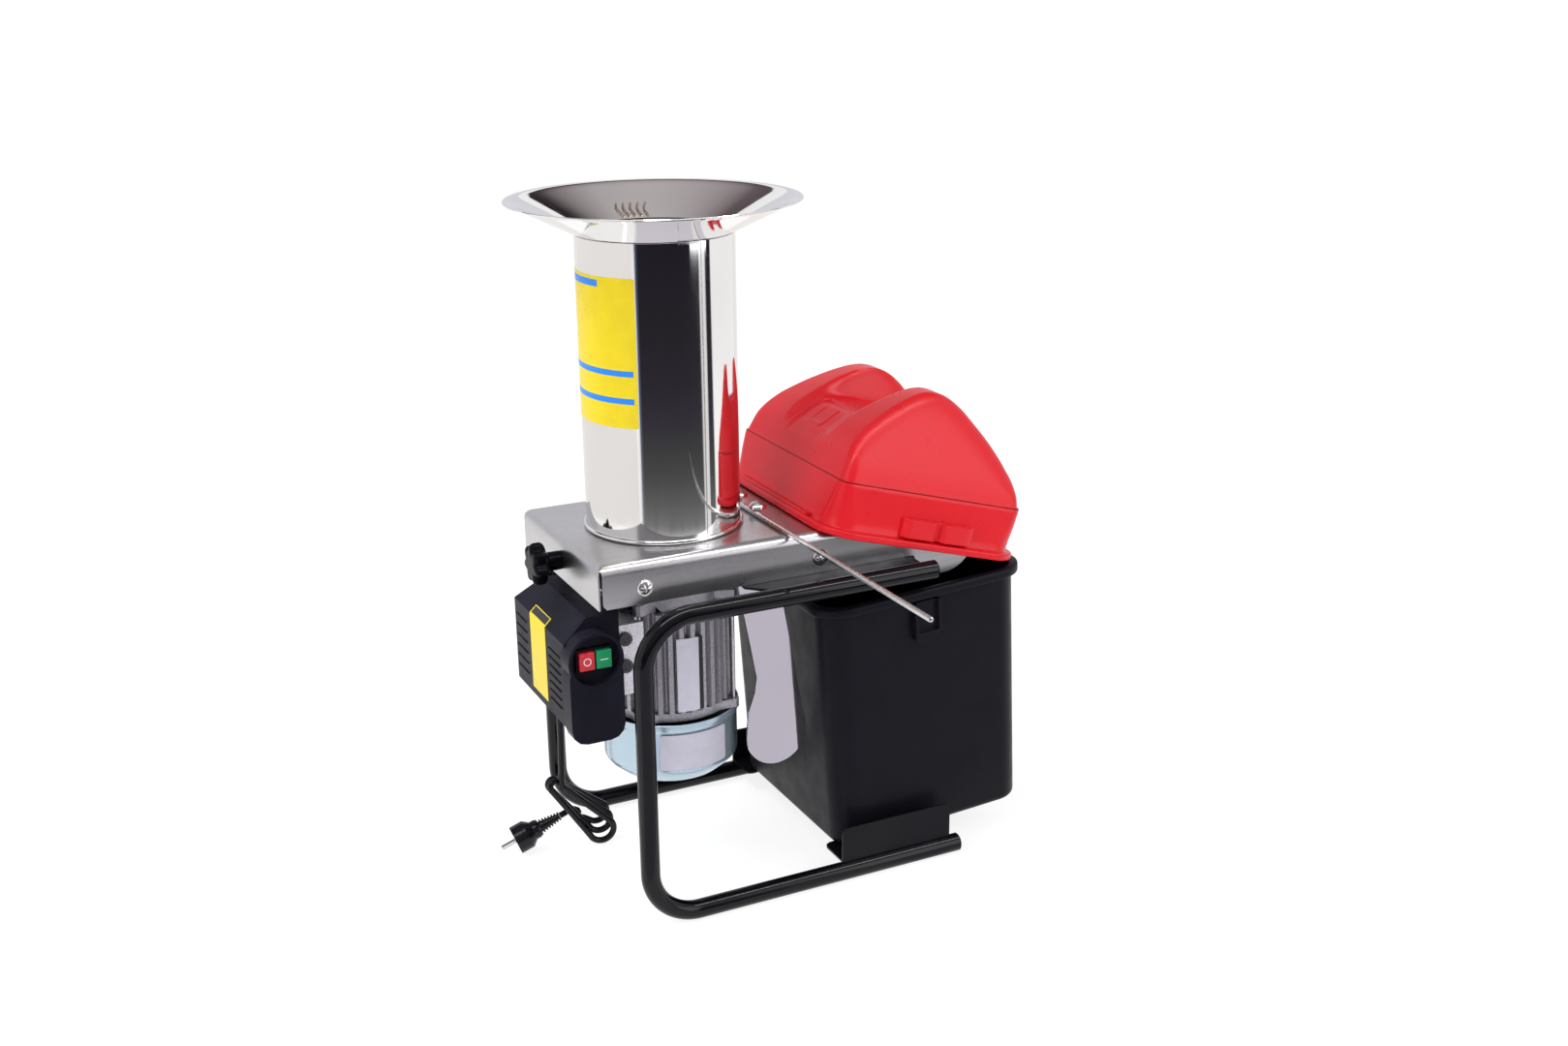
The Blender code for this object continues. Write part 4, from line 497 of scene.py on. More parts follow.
def film(name, colour):
    """Printed film, slightly soft in its shine; the dark red parting film is painted shade in the hood's
    groove.
    """
    mat = shader(name, colour, 0.32, specular=0.3)
    tint(mat, noise(mat, 60.0), scaled(colour, 0.95), scaled(colour, 1.03))
    roughen(mat, noise(mat, 200.0, detail=4.0), 0.26, 0.40)
    emboss(mat, noise(mat, 500.0, detail=3.0), 0.05, 0.0001)
    return mat


MIRROR = polished("mirror_steel", (0.80, 0.79, 0.785))
LAVENDER = polished("tongue_steel", (0.60, 0.585, 0.61))
BRUSHED = brushed()
STEEL = bright("bright_steel", (0.66, 0.65, 0.64), 0.16, 0.32)
DARK_STEEL = bright("core_plates", (0.30, 0.20, 0.12), 0.4, 0.6)
KNIFE_STEEL = bright("knife_steel", (0.60, 0.59, 0.58), 0.2, 0.36)
WELD = bright("weld_bead", (0.56, 0.47, 0.36), 0.25, 0.45)
WELD_LINE = bright("ground_seam", (0.52, 0.51, 0.50), 0.18, 0.34)
TURNED = turned_steel()
BLACK = gloss_paint()
CAST = casting("cast_aluminium", 1.0)
# Same cast aluminium made twice as bright for the terminal pad: its extra lightness is painted light, making
# up for the dark surroundings that its metal reflects.
LIT_CAST = casting("lit_casting", 2.0)
ZINC = zinc()
FLAT_BLACK = plastic("rail_paint", (0.004, 0.004, 0.006), (0.26, 0.40), 420.0, 0.00010, 0.2, specular=0.18)
CHARCOAL = plastic("charcoal_plastic", (0.0125, 0.0122, 0.0200), (0.26, 0.36), 1400.0, 0.00004, specular=0.03)
BOX_DARK = plastic("black_plastic", (0.0028, 0.0028, 0.0048), (0.20, 0.30), 1100.0, 0.00004, specular=0.06)
RECESS = plastic("recess_plastic", (0.004, 0.004, 0.005), (0.35, 0.50), 1100.0, 0.00006, specular=0.15)
TUB = plastic("tub_plastic", (0.0068, 0.0061, 0.0098), (0.30, 0.44), 800.0, 0.00008, 0.4, specular=0.10)
RUBBER = plastic("cord_rubber", (0.0045, 0.0045, 0.0065), (0.15, 0.25), 1500.0, 0.00003, 0.2, specular=0.26)
RED = plastic("red_plastic", (0.70, 0.0075, 0.0165), (0.27, 0.32), 1500.0, 0.00002, 0.10, 0.015, 0.27)
STOP = plastic("stop_red", (0.55, 0.014, 0.030), (0.25, 0.35), 900.0)
START = plastic("start_green", (0.004, 0.25, 0.095), (0.25, 0.35), 900.0)
PLUG_GREY = plastic("plug_grey", (0.055, 0.055, 0.065), (0.35, 0.5), 1200.0)
MARK = film("button_mark", (0.80, 0.80, 0.78))
YELLOW = film("yellow_film", (0.74, 0.57, 0.006))
BLUE = film("blue_film", (0.016, 0.22, 0.78))
WHITE = film("white_film", (0.56, 0.54, 0.64))
# Dark red film for the thin strip of painted shade along the hood's parting groove.
SHADE = film("parting_shade", (0.22, 0.004, 0.008))
INK = film("black_film", (0.016, 0.016, 0.018))


# Cord

CORD_D = 0.008
CORD_TOP = Vector((-0.116, 0.072, 0.222 - GAP))
ROUTE_STEP = 0.004
CURVE_PARTS = 12
LOOP_STEPS, FIRST_STEP = 24, 0.8
HANK = dict(tip=Vector((-0.1275, 0.0737, 0.0878)), along=Vector((0.624, -0.045, -0.780)).normalized(),
            across=Vector((0.782, 0.016, 0.624)), span=0.089, big=0.017, small=0.0066, turns=2.5,
            pitch=0.0088, shrink=0.07, swing=radians(4.1), ease=0.33)
PLUG_AT = (-0.1200, 0.0825)
PLUG_YAW, PLUG_DIP = radians(175), radians(21.8)
RELIEF_L, PLUG_L, PLUG_R = 0.0275, 0.034, 0.0182


def smooth_curve(points):
    """Points at an even step along a smooth curve through the given ones, with straight ends."""
    dense = []
    for p0, p1, p2, p3 in zip(points, points[1:], points[2:], points[3:]):
        for k in range(CURVE_PARTS):
            t = k / CURVE_PARTS
            dense.append(0.5 * ((2 * p1) + (p2 - p0) * t + (2 * p0 - 5 * p1 + 4 * p2 - p3) * t ** 2
                                + (3 * p1 - p0 - 3 * p2 + p3) * t ** 3))
    dense.append(points[-2])
    total = sum((after - before).length for before, after in zip(dense, dense[1:]))
    spacing = total / max(round(total / ROUTE_STEP), 1)
    picked = [points[0], dense[0]]
    travelled = 0.0
    for before, after in zip(dense, dense[1:-1]):
        travelled += (after - before).length
        if travelled >= spacing:
            picked.append(after)
            travelled -= spacing
    if (picked[-1] - dense[-1]).length < ROUTE_STEP / 2:
        picked.pop()
    return picked + [dense[-1], points[-1]]


def loop_place(step, big, small, reach):
    """Place in the plane of a loop that runs round a small end and a big end."""
    tangent = acos((big - small) / reach)
    side = (cos(tangent), sin(tangent))
    run = LOOP_STEPS / 6
    bend = LOOP_STEPS / 3
    step = step % LOOP_STEPS
    near = (small * side[0], small * side[1])
    far = (reach + big * side[0], big * side[1])
    if step <= run:
        share = step / run
        return near[0] + (far[0] - near[0]) * share, near[1] + (far[1] - near[1]) * share
    if step <= run + bend:
        angle = tangent - 2 * tangent * (step - run) / bend
        return reach + big * cos(angle), big * sin(angle)
    if step <= 2 * run + bend:
        share = (step - run - bend) / run
        return far[0] + (near[0] - far[0]) * share, -far[1] - (near[1] - far[1]) * share
    angle = -tangent - (2 * pi - 2 * tangent) * (step - 2 * run - bend) / bend
    return small * cos(angle), small * sin(angle)


def hank_points(fine):
    """Centre line of the hank, with a number of points for each step of its loops."""
    axis = HANK["along"]
    across = (HANK["across"] - axis * HANK["across"].dot(axis)).normalized()
    stack = axis.cross(across).normalized()
    points = []
    for i in range(round(HANK["turns"] * LOOP_STEPS * fine) + 1):
        if i and i / fine < FIRST_STEP:
            continue
        turn = max(i / fine, FIRST_STEP) / LOOP_STEPS
        size = 1 - HANK["shrink"] * turn
        x, y = loop_place(turn * LOOP_STEPS, HANK["big"] * size, HANK["small"], HANK["span"] * size)
        swing = HANK["swing"] * (turn - HANK["ease"])
        x, y = x * cos(swing) - y * sin(swing), x * sin(swing) + y * cos(swing)
        depth = (HANK["turns"] / 2 - turn) * HANK["pitch"]
        points.append(HANK["tip"] + axis * x + across * y + stack * depth)
    return points


def cord_route():
    """The cord's centre line, from the gland through the hank to the plug's strain relief."""
    coarse = hank_points(1)
    entry = (coarse[1] - coarse[0]).normalized()
    onward = (coarse[-1] - coarse[-2]).normalized()
    foot = coarse[0] - entry * CORD_D
    leave = coarse[-1] + onward * CORD_D
    axis = Vector((cos(PLUG_YAW) * cos(PLUG_DIP), sin(PLUG_YAW) * cos(PLUG_DIP), -sin(PLUG_DIP)))
    plug_z = PLUG_R * cos(PLUG_DIP) + (RELIEF_L + PLUG_L) * sin(PLUG_DIP) + GAP
    end = Vector((*PLUG_AT, plug_z)) - axis * GAP
    drop = [(-0.1162, 0.0715, 0.190), (-0.1175, 0.0690, 0.150), (-0.1195, 0.0655, 0.115)]
    drop = [CORD_TOP, CORD_TOP - Vector((0, 0, CORD_D)), *map(Vector, drop), foot - entry * CORD_D, foot]
    lead = [(-0.0935, 0.0858, 0.0395), (-0.1000, 0.0863, 0.0430), (-0.1065, 0.0855, 0.0445)]
    lead = [leave, leave + onward * CORD_D, *map(Vector, lead), end - axis * CORD_D, end]
    return smooth_curve(drop) + hank_points(4) + smooth_curve(lead)


def cord():
    """The whole cord as one curve."""
    route = cord_route()
    curve = bpy.data.curves.new("mains_cord", "CURVE")
    curve.dimensions = "3D"
    line = curve.splines.new("POLY")
    line.points.add(len(route) - 1)
    for place, point in zip(line.points, route):
        place.co = (*point, 1.0)
    line.use_smooth = True
    curve.bevel_depth = CORD_D / 2
    curve.bevel_resolution = 8
    curve.use_fill_caps = True
    curve.materials.append(RUBBER)
    obj = add_object("mains_cord", curve)
    obj.location = SHIFT
    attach(obj, "stand")
    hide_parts("cord_drop", "cord_hank", "cord_lead")


cord()


# Pieces of the frame that keep their shape: nodes, material, width of the softened edges and its steps

for names, material, width, steps in (
        ("motor_shaft shaft_nut knob_stem upper_bearing lower_bearing", STEEL, 0.0, 2),
        ("left_plug_pin right_plug_pin", STEEL, 0.0, 2),
        ("knife_disc", KNIFE_STEEL, 0.0003, 2),
        ("rotor_core stator_core", DARK_STEEL, 0.0, 2),
        ("upper_end_bell lower_end_bell", CAST, 0.0008, 2),
        ("stator_housing", CAST, 0.0004, 1),
        # The terminal pad takes the brightened casting, whose extra lightness is painted light.
        ("terminal_pad", LIT_CAST, 0.0010, 2),
        ("chamber_ring", BRUSHED, 0.0, 2),
        ("chamber_floor outlet_chute", BRUSHED, 0.0004, 2),
        ("near_bucket_bracket far_bucket_bracket", FLAT_BLACK, 0.0006, 2),
        ("near_mounting_rail far_mounting_rail", FLAT_BLACK, 0.0006, 2),
        ("cooling_fan switch_base", CHARCOAL, 0.0, 2),
        ("switch_cover", CHARCOAL, 0.0009, 3),
        ("switch_block", RECESS, 0.0004, 2),
        ("plug_body", RUBBER, 0.0004, 2),
        ("cord_gland", RUBBER, 0.0005, 2)):
    for name in names.split():
        dress(name, material, width, steps)


# Frame tubes

TUBE_R, TUBE_BEND, BEND_STEPS = 0.0112, 0.060, 22
HALF_TRACK, UPRIGHT_X, UPRIGHT_MIDDLE_Z = 0.157, -0.094, 0.19
UPPER_LEG_Z, UPPER_LEG_END = 0.378, 0.2758
LOWER_LEG_Z, LOWER_LEG_END = TUBE_R * cos(pi / 12), 0.3148
LEG_MIDDLE_X = 0.12


def frame_tubes():
    """Bent tubes with their plastic end caps."""
    bend_x = UPRIGHT_X + TUBE_BEND
    path = [(UPPER_LEG_END, UPPER_LEG_Z), (LEG_MIDDLE_X, UPPER_LEG_Z)]
    path += arc((bend_x, UPPER_LEG_Z - TUBE_BEND), TUBE_BEND, pi / 2, pi, BEND_STEPS)
    path.append((UPRIGHT_X, UPRIGHT_MIDDLE_Z))
    path += arc((bend_x, LOWER_LEG_Z + TUBE_BEND), TUBE_BEND, pi, 3 * pi / 2, BEND_STEPS)
    path += [(LEG_MIDDLE_X, LOWER_LEG_Z), (LOWER_LEG_END, LOWER_LEG_Z)]
    back = GAP - 0.0002
    cap = [(0.0, back), (TUBE_R - 0.0004, back), (TUBE_R, 0.0006), (TUBE_R, 0.0010), (TUBE_R * 0.94, 0.0017),
           (TUBE_R * 0.82, 0.0022), (TUBE_R * 0.62, 0.0025), (TUBE_R * 0.58, 0.0019), (0.0, 0.0019)]
    for name, side in SIDES:
        y = side * HALF_TRACK
        bm = bmesh.new()
        sweep(bm, [Vector((x, y, z)) for x, z in path], TUBE_R, 48)
        piece(f"{name}_tube", bm, BLACK, slot="gloss_black", replaces=f"{name}_frame_tube", angle=50)
        for level, x, z in (("upper", UPPER_LEG_END, UPPER_LEG_Z), ("lower", LOWER_LEG_END, LOWER_LEG_Z)):
            lathe(f"{name}_{level}_end", cap, 48, BOX_DARK, along((1, 0, 0), (x, y, z)),
                  slot="black_plastic", replaces=f"{name}_{level}_cap", angle=40)


frame_tubes()


# Chassis with its bolts, studs and rod

CHASSIS_LEFT, CHASSIS_RIGHT, CHASSIS_HALF = -0.130, 0.254, 0.1245
CHASSIS_BOTTOM, CHASSIS_TOP = 0.3865, 0.4353
SHEET, SHEET_BEND, CURL_STEPS = 0.0015, 0.011, 8
MOUTH_R, PAST = 0.0903, 0.01
BOLT_ENDS = (("left", -0.0755), ("right", 0.142))
BOLT_Z, BOLT_R, BOLT_H, SHANK_R, SHANK_L = CHASSIS_BOTTOM + 0.0185, 0.00975, 0.0048, 0.004, 0.0114
DOME = ((0.02, 0.98), (0.12, 0.97), (0.28, 0.93), (0.45, 0.86), (0.62, 0.76), (0.78, 0.62), (0.89, 0.46),
        (0.96, 0.28), (1.0, 0.06))
ROD_X, ROD_R, ROD_BACK, ROD_LENGTH, ROD_YAW = 0.1020, 0.003, 0.060, 0.488, radians(0.85)
STUD_Y, STUD_R, STUD_HEAD_R, STUD_SHOULDER, STUD_RISE = 0.026, 0.0035, 0.011, 0.00663, 0.008
STUD_X = ROD_X + ROD_R + STUD_R + 0.0006 + STUD_Y * tan(ROD_YAW)


def tray_block(inset=0.0, past=0.0):
    """A block with the tray's round edges, drawn in by an inset and drawn out past its open sides."""
    top, half, left = CHASSIS_TOP - inset, CHASSIS_HALF - inset, CHASSIS_LEFT + inset
    low, right = CHASSIS_BOTTOM - past, CHASSIS_RIGHT + past
    bend = SHEET_BEND - inset
    curl = [(bend * (1 - sin(a)), bend * (1 - cos(a))) for a in even(0.0, pi / 2, CURL_STEPS)]
    edge = [(out - half, top - down) for out, down in curl[::-1]]
    section = [(-half, low), *edge, *[(-y, z) for y, z in edge[::-1]], (half, low)]
    rings = [[(left + down, y, min(z, top - out)) for y, z in section] for out, down in curl]
    rings.append([(right, y, z) for y, z in section])
    bm = bmesh.new()
    loft(bm, rings)
    return bm


def chassis():
    """Folded tray: top, two long sides and a left end, bent from one sheet, with slits at its corners."""
    made = piece("chassis_tray", tray_block(), BRUSHED, slot="brushed_steel", replaces="chassis")
    room = piece("tray_room", tray_block(SHEET, PAST), BRUSHED)
    over, under = CHASSIS_TOP + PAST, CHASSIS_TOP - PAST
    mouth = lathe("tray_mouth", [(0.0, over), (MOUTH_R, over), (MOUTH_R, under), (0.0, under)], 128, BRUSHED)
    x, foot = CHASSIS_LEFT + SHEET + GAP, CHASSIS_BOTTOM - SHEET
    outline = [(x, foot), (x + 0.0075, foot), (x + 0.0068, foot + 0.0022), (x + 0.0042, foot + 0.0050),
               (x + 0.0030, foot + 0.0085), (x + 0.0028, CHASSIS_TOP - 0.006),
               (x + 0.0014, CHASSIS_TOP - 0.0035), (x, CHASSIS_TOP - 0.006)]
    slits = bmesh.new()
    for _, side in SIDES:
        plate(slits, outline, *flank(side, CHASSIS_HALF - SHEET_BEND, CHASSIS_HALF + SHEET), place=upright())
    cut_out(made, (room, mouth, piece("tray_slits", slits, BRUSHED)))
    soften(made, 0.0005, 3, 40)
    join_close(made, 0.00001)


def bolt(name, axis, seat, node):
    """Domed bolt head, slightly rippled round its crown, with its shank."""
    rings = []
    for out, rise in DOME:
        ripple = 0.00022 * out * (1 - out) * 4
        rings.append([(*polar(BOLT_R * out, a), BOLT_H * rise + ripple * cos(5 * a + 0.6)) for a in span(80)])
    for r, z in ((BOLT_R * 0.97, 0.0), (SHANK_R, 0.0), (SHANK_R, -SHANK_L)):
        rings.append(level_at(z, circle(r, 80)))
    bm = bmesh.new()
    loft(bm, rings, along(axis, seat))
    piece(name, bm, TURNED, slot="bright_steel", replaces=node, angle=34)


def fastenings():
    """Side bolts, studs and the long rod under their heads."""
    stud = [(0.0, STUD_SHOULDER + STUD_RISE)]
    for a in (0.15, 0.35, 0.6, 0.85, 1.1, 1.3, 1.45):
        stud.append((STUD_HEAD_R * sin(a), STUD_SHOULDER + STUD_RISE * cos(a)))
    stud += [(STUD_HEAD_R, STUD_SHOULDER + 0.0004), (STUD_HEAD_R * 0.97, STUD_SHOULDER),
             (STUD_R, STUD_SHOULDER), (STUD_R, GAP), (0.0, GAP)]
    for name, side in SIDES:
        for end, x in BOLT_ENDS:
            seat = (x, side * (CHASSIS_HALF + GAP), BOLT_Z)
            bolt(f"{name}_{end}_dome", (0, side, 0), seat, f"{name}_{end}_bolt")
        lathe(f"{name}_mushroom_stud", stud, 64, TURNED,
              Matrix.Translation((STUD_X, side * STUD_Y, CHASSIS_TOP)),
              slot="bright_steel", replaces=f"{name}_rod_stud", angle=34)
    r, length = ROD_R, ROD_LENGTH
    rod = [(0.0, length), (r * 0.6, length), (r * 0.9, length - r * 0.15), (r, length - r * 0.4),
           (r, r * 0.4), (r * 0.9, r * 0.15), (r * 0.6, 0.0), (0.0, 0.0)]
    start = Vector((ROD_X - ROD_BACK * tan(ROD_YAW), ROD_BACK, CHASSIS_TOP + ROD_R + GAP))
    heading = Vector((sin(ROD_YAW), -cos(ROD_YAW), 0.0))
    lathe("long_rod", rod, 32, STEEL, along(heading, start),
          body="rod", slot="bright_steel", replaces="cross_rod")


chassis()
fastenings()


# Hopper

HOPPER_R, HOPPER_WALL, HOPPER_TOP = 0.090, 0.0015, 0.7748
RIM_H, RIM_R, LIP_W, LIP_DROP = 0.0371, 0.1665, 0.0095, 0.0022
HOPPER_LOW = CHASSIS_TOP - 0.014
INNER_R, KNEE_R = HOPPER_R - HOPPER_WALL, RIM_R - LIP_W
RIM_LOW, RIM_TOP = HOPPER_TOP + GAP, HOPPER_TOP + RIM_H
KNEE_Z = RIM_TOP - LIP_DROP
ON_HOPPER = dict(body="hopper", slot="polished_steel")
SEAM_TURN, SEAM_HEIGHTS = (-79.4, -78.5), (CHASSIS_TOP + 0.007, HOPPER_TOP - 0.001)
JOINT_TURN, JOINT_HEIGHTS = (-96.5, -80.5), (HOPPER_TOP - 0.0022, HOPPER_TOP - 0.0002)
DECAL_TURN, DECAL_HEIGHTS, DECAL_CORNER = (-207.0, -127.6), (0.5700, 0.7370), 0.0015
LONG_BAR_TURN, SHORT_BAR_TURN = (-203.0, -130.2), (-203.0, -157.5)
DECAL_BARS = (("0", LONG_BAR_TURN, (0.6285, 0.6350)), ("1", LONG_BAR_TURN, (0.5975, 0.6040)),
              ("top", SHORT_BAR_TURN, (0.7255, 0.7330)))
PATCH_STEP, PATCH_ROWS = 1.5, 14
STITCHES, STITCH_FIRST, STITCH_PITCH, STITCH_CURL = 5, 89.5, 4.4, radians(2.2)
STITCH_R, STITCH_PROUD = 0.0013, 0.0006


def skin_patch(name, material, radius, turn, heights, body="hopper", thick=0.00025, corner=0.0):
    """A thin curved patch on an upright cylinder between two angles, in degrees, and two heights."""
    (first, last), (low, high) = turn, heights
    grids = []
    for level in (radius + thick, radius):
        grid = []
        for share in even(0.0, 1.0, max(int(abs(last - first) / PATCH_STEP), 4)):
            edge = min(share, 1 - share) * abs(radians(last - first)) * radius
            pull = corner - sqrt(corner ** 2 - max(corner - edge, 0.0) ** 2)
            x, y = polar(level, radians(first + (last - first) * share))
            grid.append([(x, y, z) for z in even(low + pull, high - pull, PATCH_ROWS)])
        grids.append(grid)
    bm = bmesh.new()
    slab(bm, *grids)
    piece(name, bm, material, body=body, angle=60)


def hopper():
    """Polished tube with a flared rim, a foot bead and its seams."""
    levels = even(HOPPER_LOW, HOPPER_TOP, 24)
    barrel = [(HOPPER_R, z) for z in levels] + [(INNER_R, z) for z in levels[::-1]]
    lathe("hopper_barrel", barrel, 256, MIRROR, closed=True, replaces="hopper_tube", **ON_HOPPER)
    shares = even(0.0, 1.0, 12)
    rise = KNEE_Z - HOPPER_WALL - RIM_LOW
    flare = [(HOPPER_R + (KNEE_R - HOPPER_R) * s, RIM_LOW + rise * s) for s in shares]
    lip = [(KNEE_R + 0.003, KNEE_Z - HOPPER_WALL + 0.0009), (RIM_R - 0.0012, RIM_TOP - HOPPER_WALL + 0.0001),
           (RIM_R - 0.0003, RIM_TOP - HOPPER_WALL * 0.75), (RIM_R, RIM_TOP - HOPPER_WALL * 0.45),
           (RIM_R - 0.0004, RIM_TOP - 0.0001), (RIM_R - 0.0014, RIM_TOP), (KNEE_R + 0.003, KNEE_Z + 0.0013)]
    back = [cone(s) for s in shares[::-1]] + [(INNER_R, RIM_LOW)]
    lathe("hopper_flare", flare + lip + back, 256, MIRROR, closed=True, angle=40,
          replaces="hopper_rim", **ON_HOPPER)
    r, z = HOPPER_R + GAP, CHASSIS_TOP + GAP
    bead = [(r, z)]
    for a in (-1.35, -1.0, -0.6, -0.2, 0.2, 0.6, 1.0, 1.4):
        bead.append((r + 0.0008 + 0.0024 * cos(a), z + 0.0028 + 0.0026 * sin(a)))
    bead.append((r, z + 0.0052))
    lathe("hopper_bead", bead, 192, MIRROR, closed=True, angle=50, replaces="foot_ring", **ON_HOPPER)
    skin_patch("hopper_seam", WELD_LINE, HOPPER_R - 0.0001, SEAM_TURN, SEAM_HEIGHTS, thick=0.0003)
    skin_patch("joint_bead", STEEL, HOPPER_R - 0.0001, JOINT_TURN, JOINT_HEIGHTS, thick=0.0009)


def decal():
    """Plain decal with blank bars."""
    r = HOPPER_R + 0.00005
    skin_patch("decal_sheet", YELLOW, r, DECAL_TURN, DECAL_HEIGHTS, corner=DECAL_CORNER)
    for name, turn, heights in DECAL_BARS:
        skin_patch(f"decal_bar_{name}", BLUE, r + 0.0003, turn, heights, thick=0.0001)


def cone(share):
    """Radius and height on the inside of the flared rim, from its foot to its knee."""
    base = RIM_LOW + HOPPER_WALL
    return INNER_R + (KNEE_R - HOPPER_WALL / 2 - INNER_R) * share, base + (KNEE_Z - base) * share


def stitches():
    """Five short curled weld stitches on the inside of the flare."""
    (r0, z0), (r1, z1) = cone(0.0), cone(1.0)
    slope = Vector((z1 - z0, r1 - r0)).normalized() * STITCH_PROUD
    for i in range(STITCHES):
        middle = radians(STITCH_FIRST - STITCH_PITCH * i)
        path = []
        for share in even(0.0, 1.0, 12):
            angle = middle + STITCH_CURL * sin(share * pi * 0.9)
            r, z = cone(0.05 + 0.35 * share)
            path.append(Vector((*polar(r - slope.x, angle), z + slope.y)))
        bm = bmesh.new()
        sweep(bm, path, STITCH_R, 12)
        piece(f"weld_stitch_{i}", bm, WELD, angle=60, **ON_HOPPER)


hopper()
decal()
stitches()


# Motor

COVER_R, COVER_LOW, COVER_HIGH, COVER_BAND = 0.0825, 0.1276, 0.2096, 0.010
COVER_CHAMFER, COVER_SHEET, COVER_BEND = 0.019, 0.0012, 0.0057
TIE_R, TIE_ROD_R, TIE_HEAD_R = 0.0835, 0.00225, 0.0040
TIE_LOW, TIE_SEAT = 0.2099 - GAP, 0.3602 + GAP
PLATE_R, PLATE_HEIGHTS = 0.0781, (0.2240, 0.3155)


def fan_cover():
    """Pressed cover with a rolled mouth band, a chamfered foot and radial slots."""
    r, t, low, high = COVER_R, COVER_SHEET, COVER_LOW, COVER_HIGH
    band = high - COVER_BAND
    body = r - t
    foot = r - COVER_CHAMFER - 0.004
    shoulder = low + COVER_CHAMFER
    outer = [(0.0, low), (foot, low)]
    outer += [(foot + COVER_BEND * sin(a), low + COVER_BEND * (1 - cos(a))) for a in (0.2, 0.4, 0.6, 0.78)]
    outer += [(body - 0.0035, shoulder - 0.0052), (body - 0.0012, shoulder - 0.0022),
              (body - 0.0002, shoulder + 0.001), (body, shoulder + 0.004),
              (body, band - 0.003), (body + 0.0005, band - 0.0012), (r + t - 0.0005, band + 0.0004),
              (r + t, band + 0.0015), (r + t, high - 0.0003), (r + t - 0.0003, high)]
    inner = [(r, high), (r, band + 0.001), (body - t, band - 0.001), (body - t, shoulder),
             (foot, low + t), (0.0, low + t)]
    made = lathe("fan_cowl", outer + inner, 128, ZINC, slot="blue_zinc", replaces="fan_cover")
    reach = r - COVER_CHAMFER
    slots = bmesh.new()
    for angle in span(8):
        block(slots, (reach * 0.35, reach * 0.85), (-0.0022, 0.0022), (low - t, low + 2 * t),
              Matrix.Rotation(angle, 4, "Z"))
    cut_out(made, (piece("cowl_slots", slots, ZINC),))
    made.data.set_sharp_from_angle(angle=radians(40))
    skin_patch("cowl_plate", WHITE, r, (-121.0, -61.0), (0.1515, 0.1965), "stand", corner=0.002)


def tie_rods():
    """The long motor rods with hexagon heads and washers."""
    seat = TIE_SEAT
    shank = [(0.0, seat), (TIE_ROD_R, seat), (TIE_ROD_R, TIE_LOW), (0.0, TIE_LOW)]
    washer = [(0.0, seat + 0.0008), (0.0040, seat + 0.0008), (0.0042, seat + 0.0005), (0.0042, seat),
              (0.0, seat)]
    for degrees in (45, 135, 225, 315):
        angle = radians(degrees)
        place = Matrix.Translation((*polar(TIE_R, angle), 0.0))
        lathe(f"long_tie_{degrees}", shank, 32, STEEL, place,
              slot="bright_steel", replaces=f"tie_rod_{degrees}")
        head = bmesh.new()
        turned(head, washer, 32, place)
        plate(head, circle(TIE_HEAD_R, 6, angle), seat + 0.0006, seat + 0.0042, place=place)
        piece(f"tie_head_{degrees}", head, STEEL, slot="bright_steel", bevel=0.0003)


fan_cover()
tie_rods()
skin_patch("blank_plate", WHITE, PLATE_R, (-104.9, -85.2), PLATE_HEIGHTS, "stand", 0.0005)
skin_patch("blank_plate_strip", INK, PLATE_R, (-85.2, -81.2), PLATE_HEIGHTS, "stand", 0.0005)


# Tongue plate

TONGUE_Y, TONGUE_END, TONGUE_R = -0.075, (0.1070, 0.1705), 0.0395


def tongue():
    """Polished tongue with a smooth round end."""
    top = CHASSIS_BOTTOM - GAP
    outline = [(0.0560, top), (0.0666, 0.328), (0.0747, 0.286), (0.0815, 0.248), (0.0788, 0.229),
               (0.0700, 0.204)]
    outline += arc(TONGUE_END, TONGUE_R, radians(175), radians(368), 72) + [(0.1085, top)]
    bm = bmesh.new()
    plate(bm, outline, -SHEET, SHEET, place=upright(TONGUE_Y))
    piece("tongue", bm, LAVENDER, slot="polished_steel", replaces="tongue_plate", bevel=0.0004)


tongue()


# Switch box and knob

BOX_FRONT = -0.1595
HEAD_X, HEAD_Z, KEY_FRONT = -0.1290, 0.3210, -0.0984
KEY_W, KEY_H, KEY_PROUD, KEY_OFF = 0.0180, 0.0215, 0.0055, 0.0100
MARK_R, MARK_H = 0.0046, 0.0002
FILM_SIDES, FILM_THICK = (-0.022, 0.031), 0.00025
LOUVRE_LOW, LOUVRE_HALF = 0.2545, 0.0193
ENTRY_X, ENTRY_Y = -0.0817, -0.072
KNOB_R, KNOB_LOBE, LOBES, KNOB_START, KNOB_THICK = 0.025, 0.0032, 7, 0.017, 0.019


def buttons():
    """Square keys with their generic on and off marks."""
    low = KEY_FRONT - KEY_PROUD
    for name, side, colour, slot in (("stop", -1, STOP, "stop_red"), ("start", 1, START, "start_green")):
        x = HEAD_X + side * KEY_OFF
        bm = bmesh.new()
        block(bm, (x - KEY_W / 2, x + KEY_W / 2), (low, KEY_FRONT + 0.0035),
              (HEAD_Z - KEY_H / 2, HEAD_Z + KEY_H / 2))
        piece(f"{name}_key_cap", bm, colour, body=f"{name}_key", slot=slot, replaces=f"{name}_button",
              bevel=0.0014, steps=4)
        mark = bmesh.new()
        if side < 0:
            plate(mark, circle(MARK_R, 48), 0.0, MARK_H, [circle(MARK_R - 0.0010, 48)],
                  place=Matrix.Translation((x, low - MARK_H, HEAD_Z)) @ upright())
        else:
            block(mark, (x - MARK_R, x + MARK_R), (low - MARK_H, low), (HEAD_Z - 0.0005, HEAD_Z + 0.0005))
        piece(f"{name}_key_mark", mark, MARK, body=f"{name}_key")


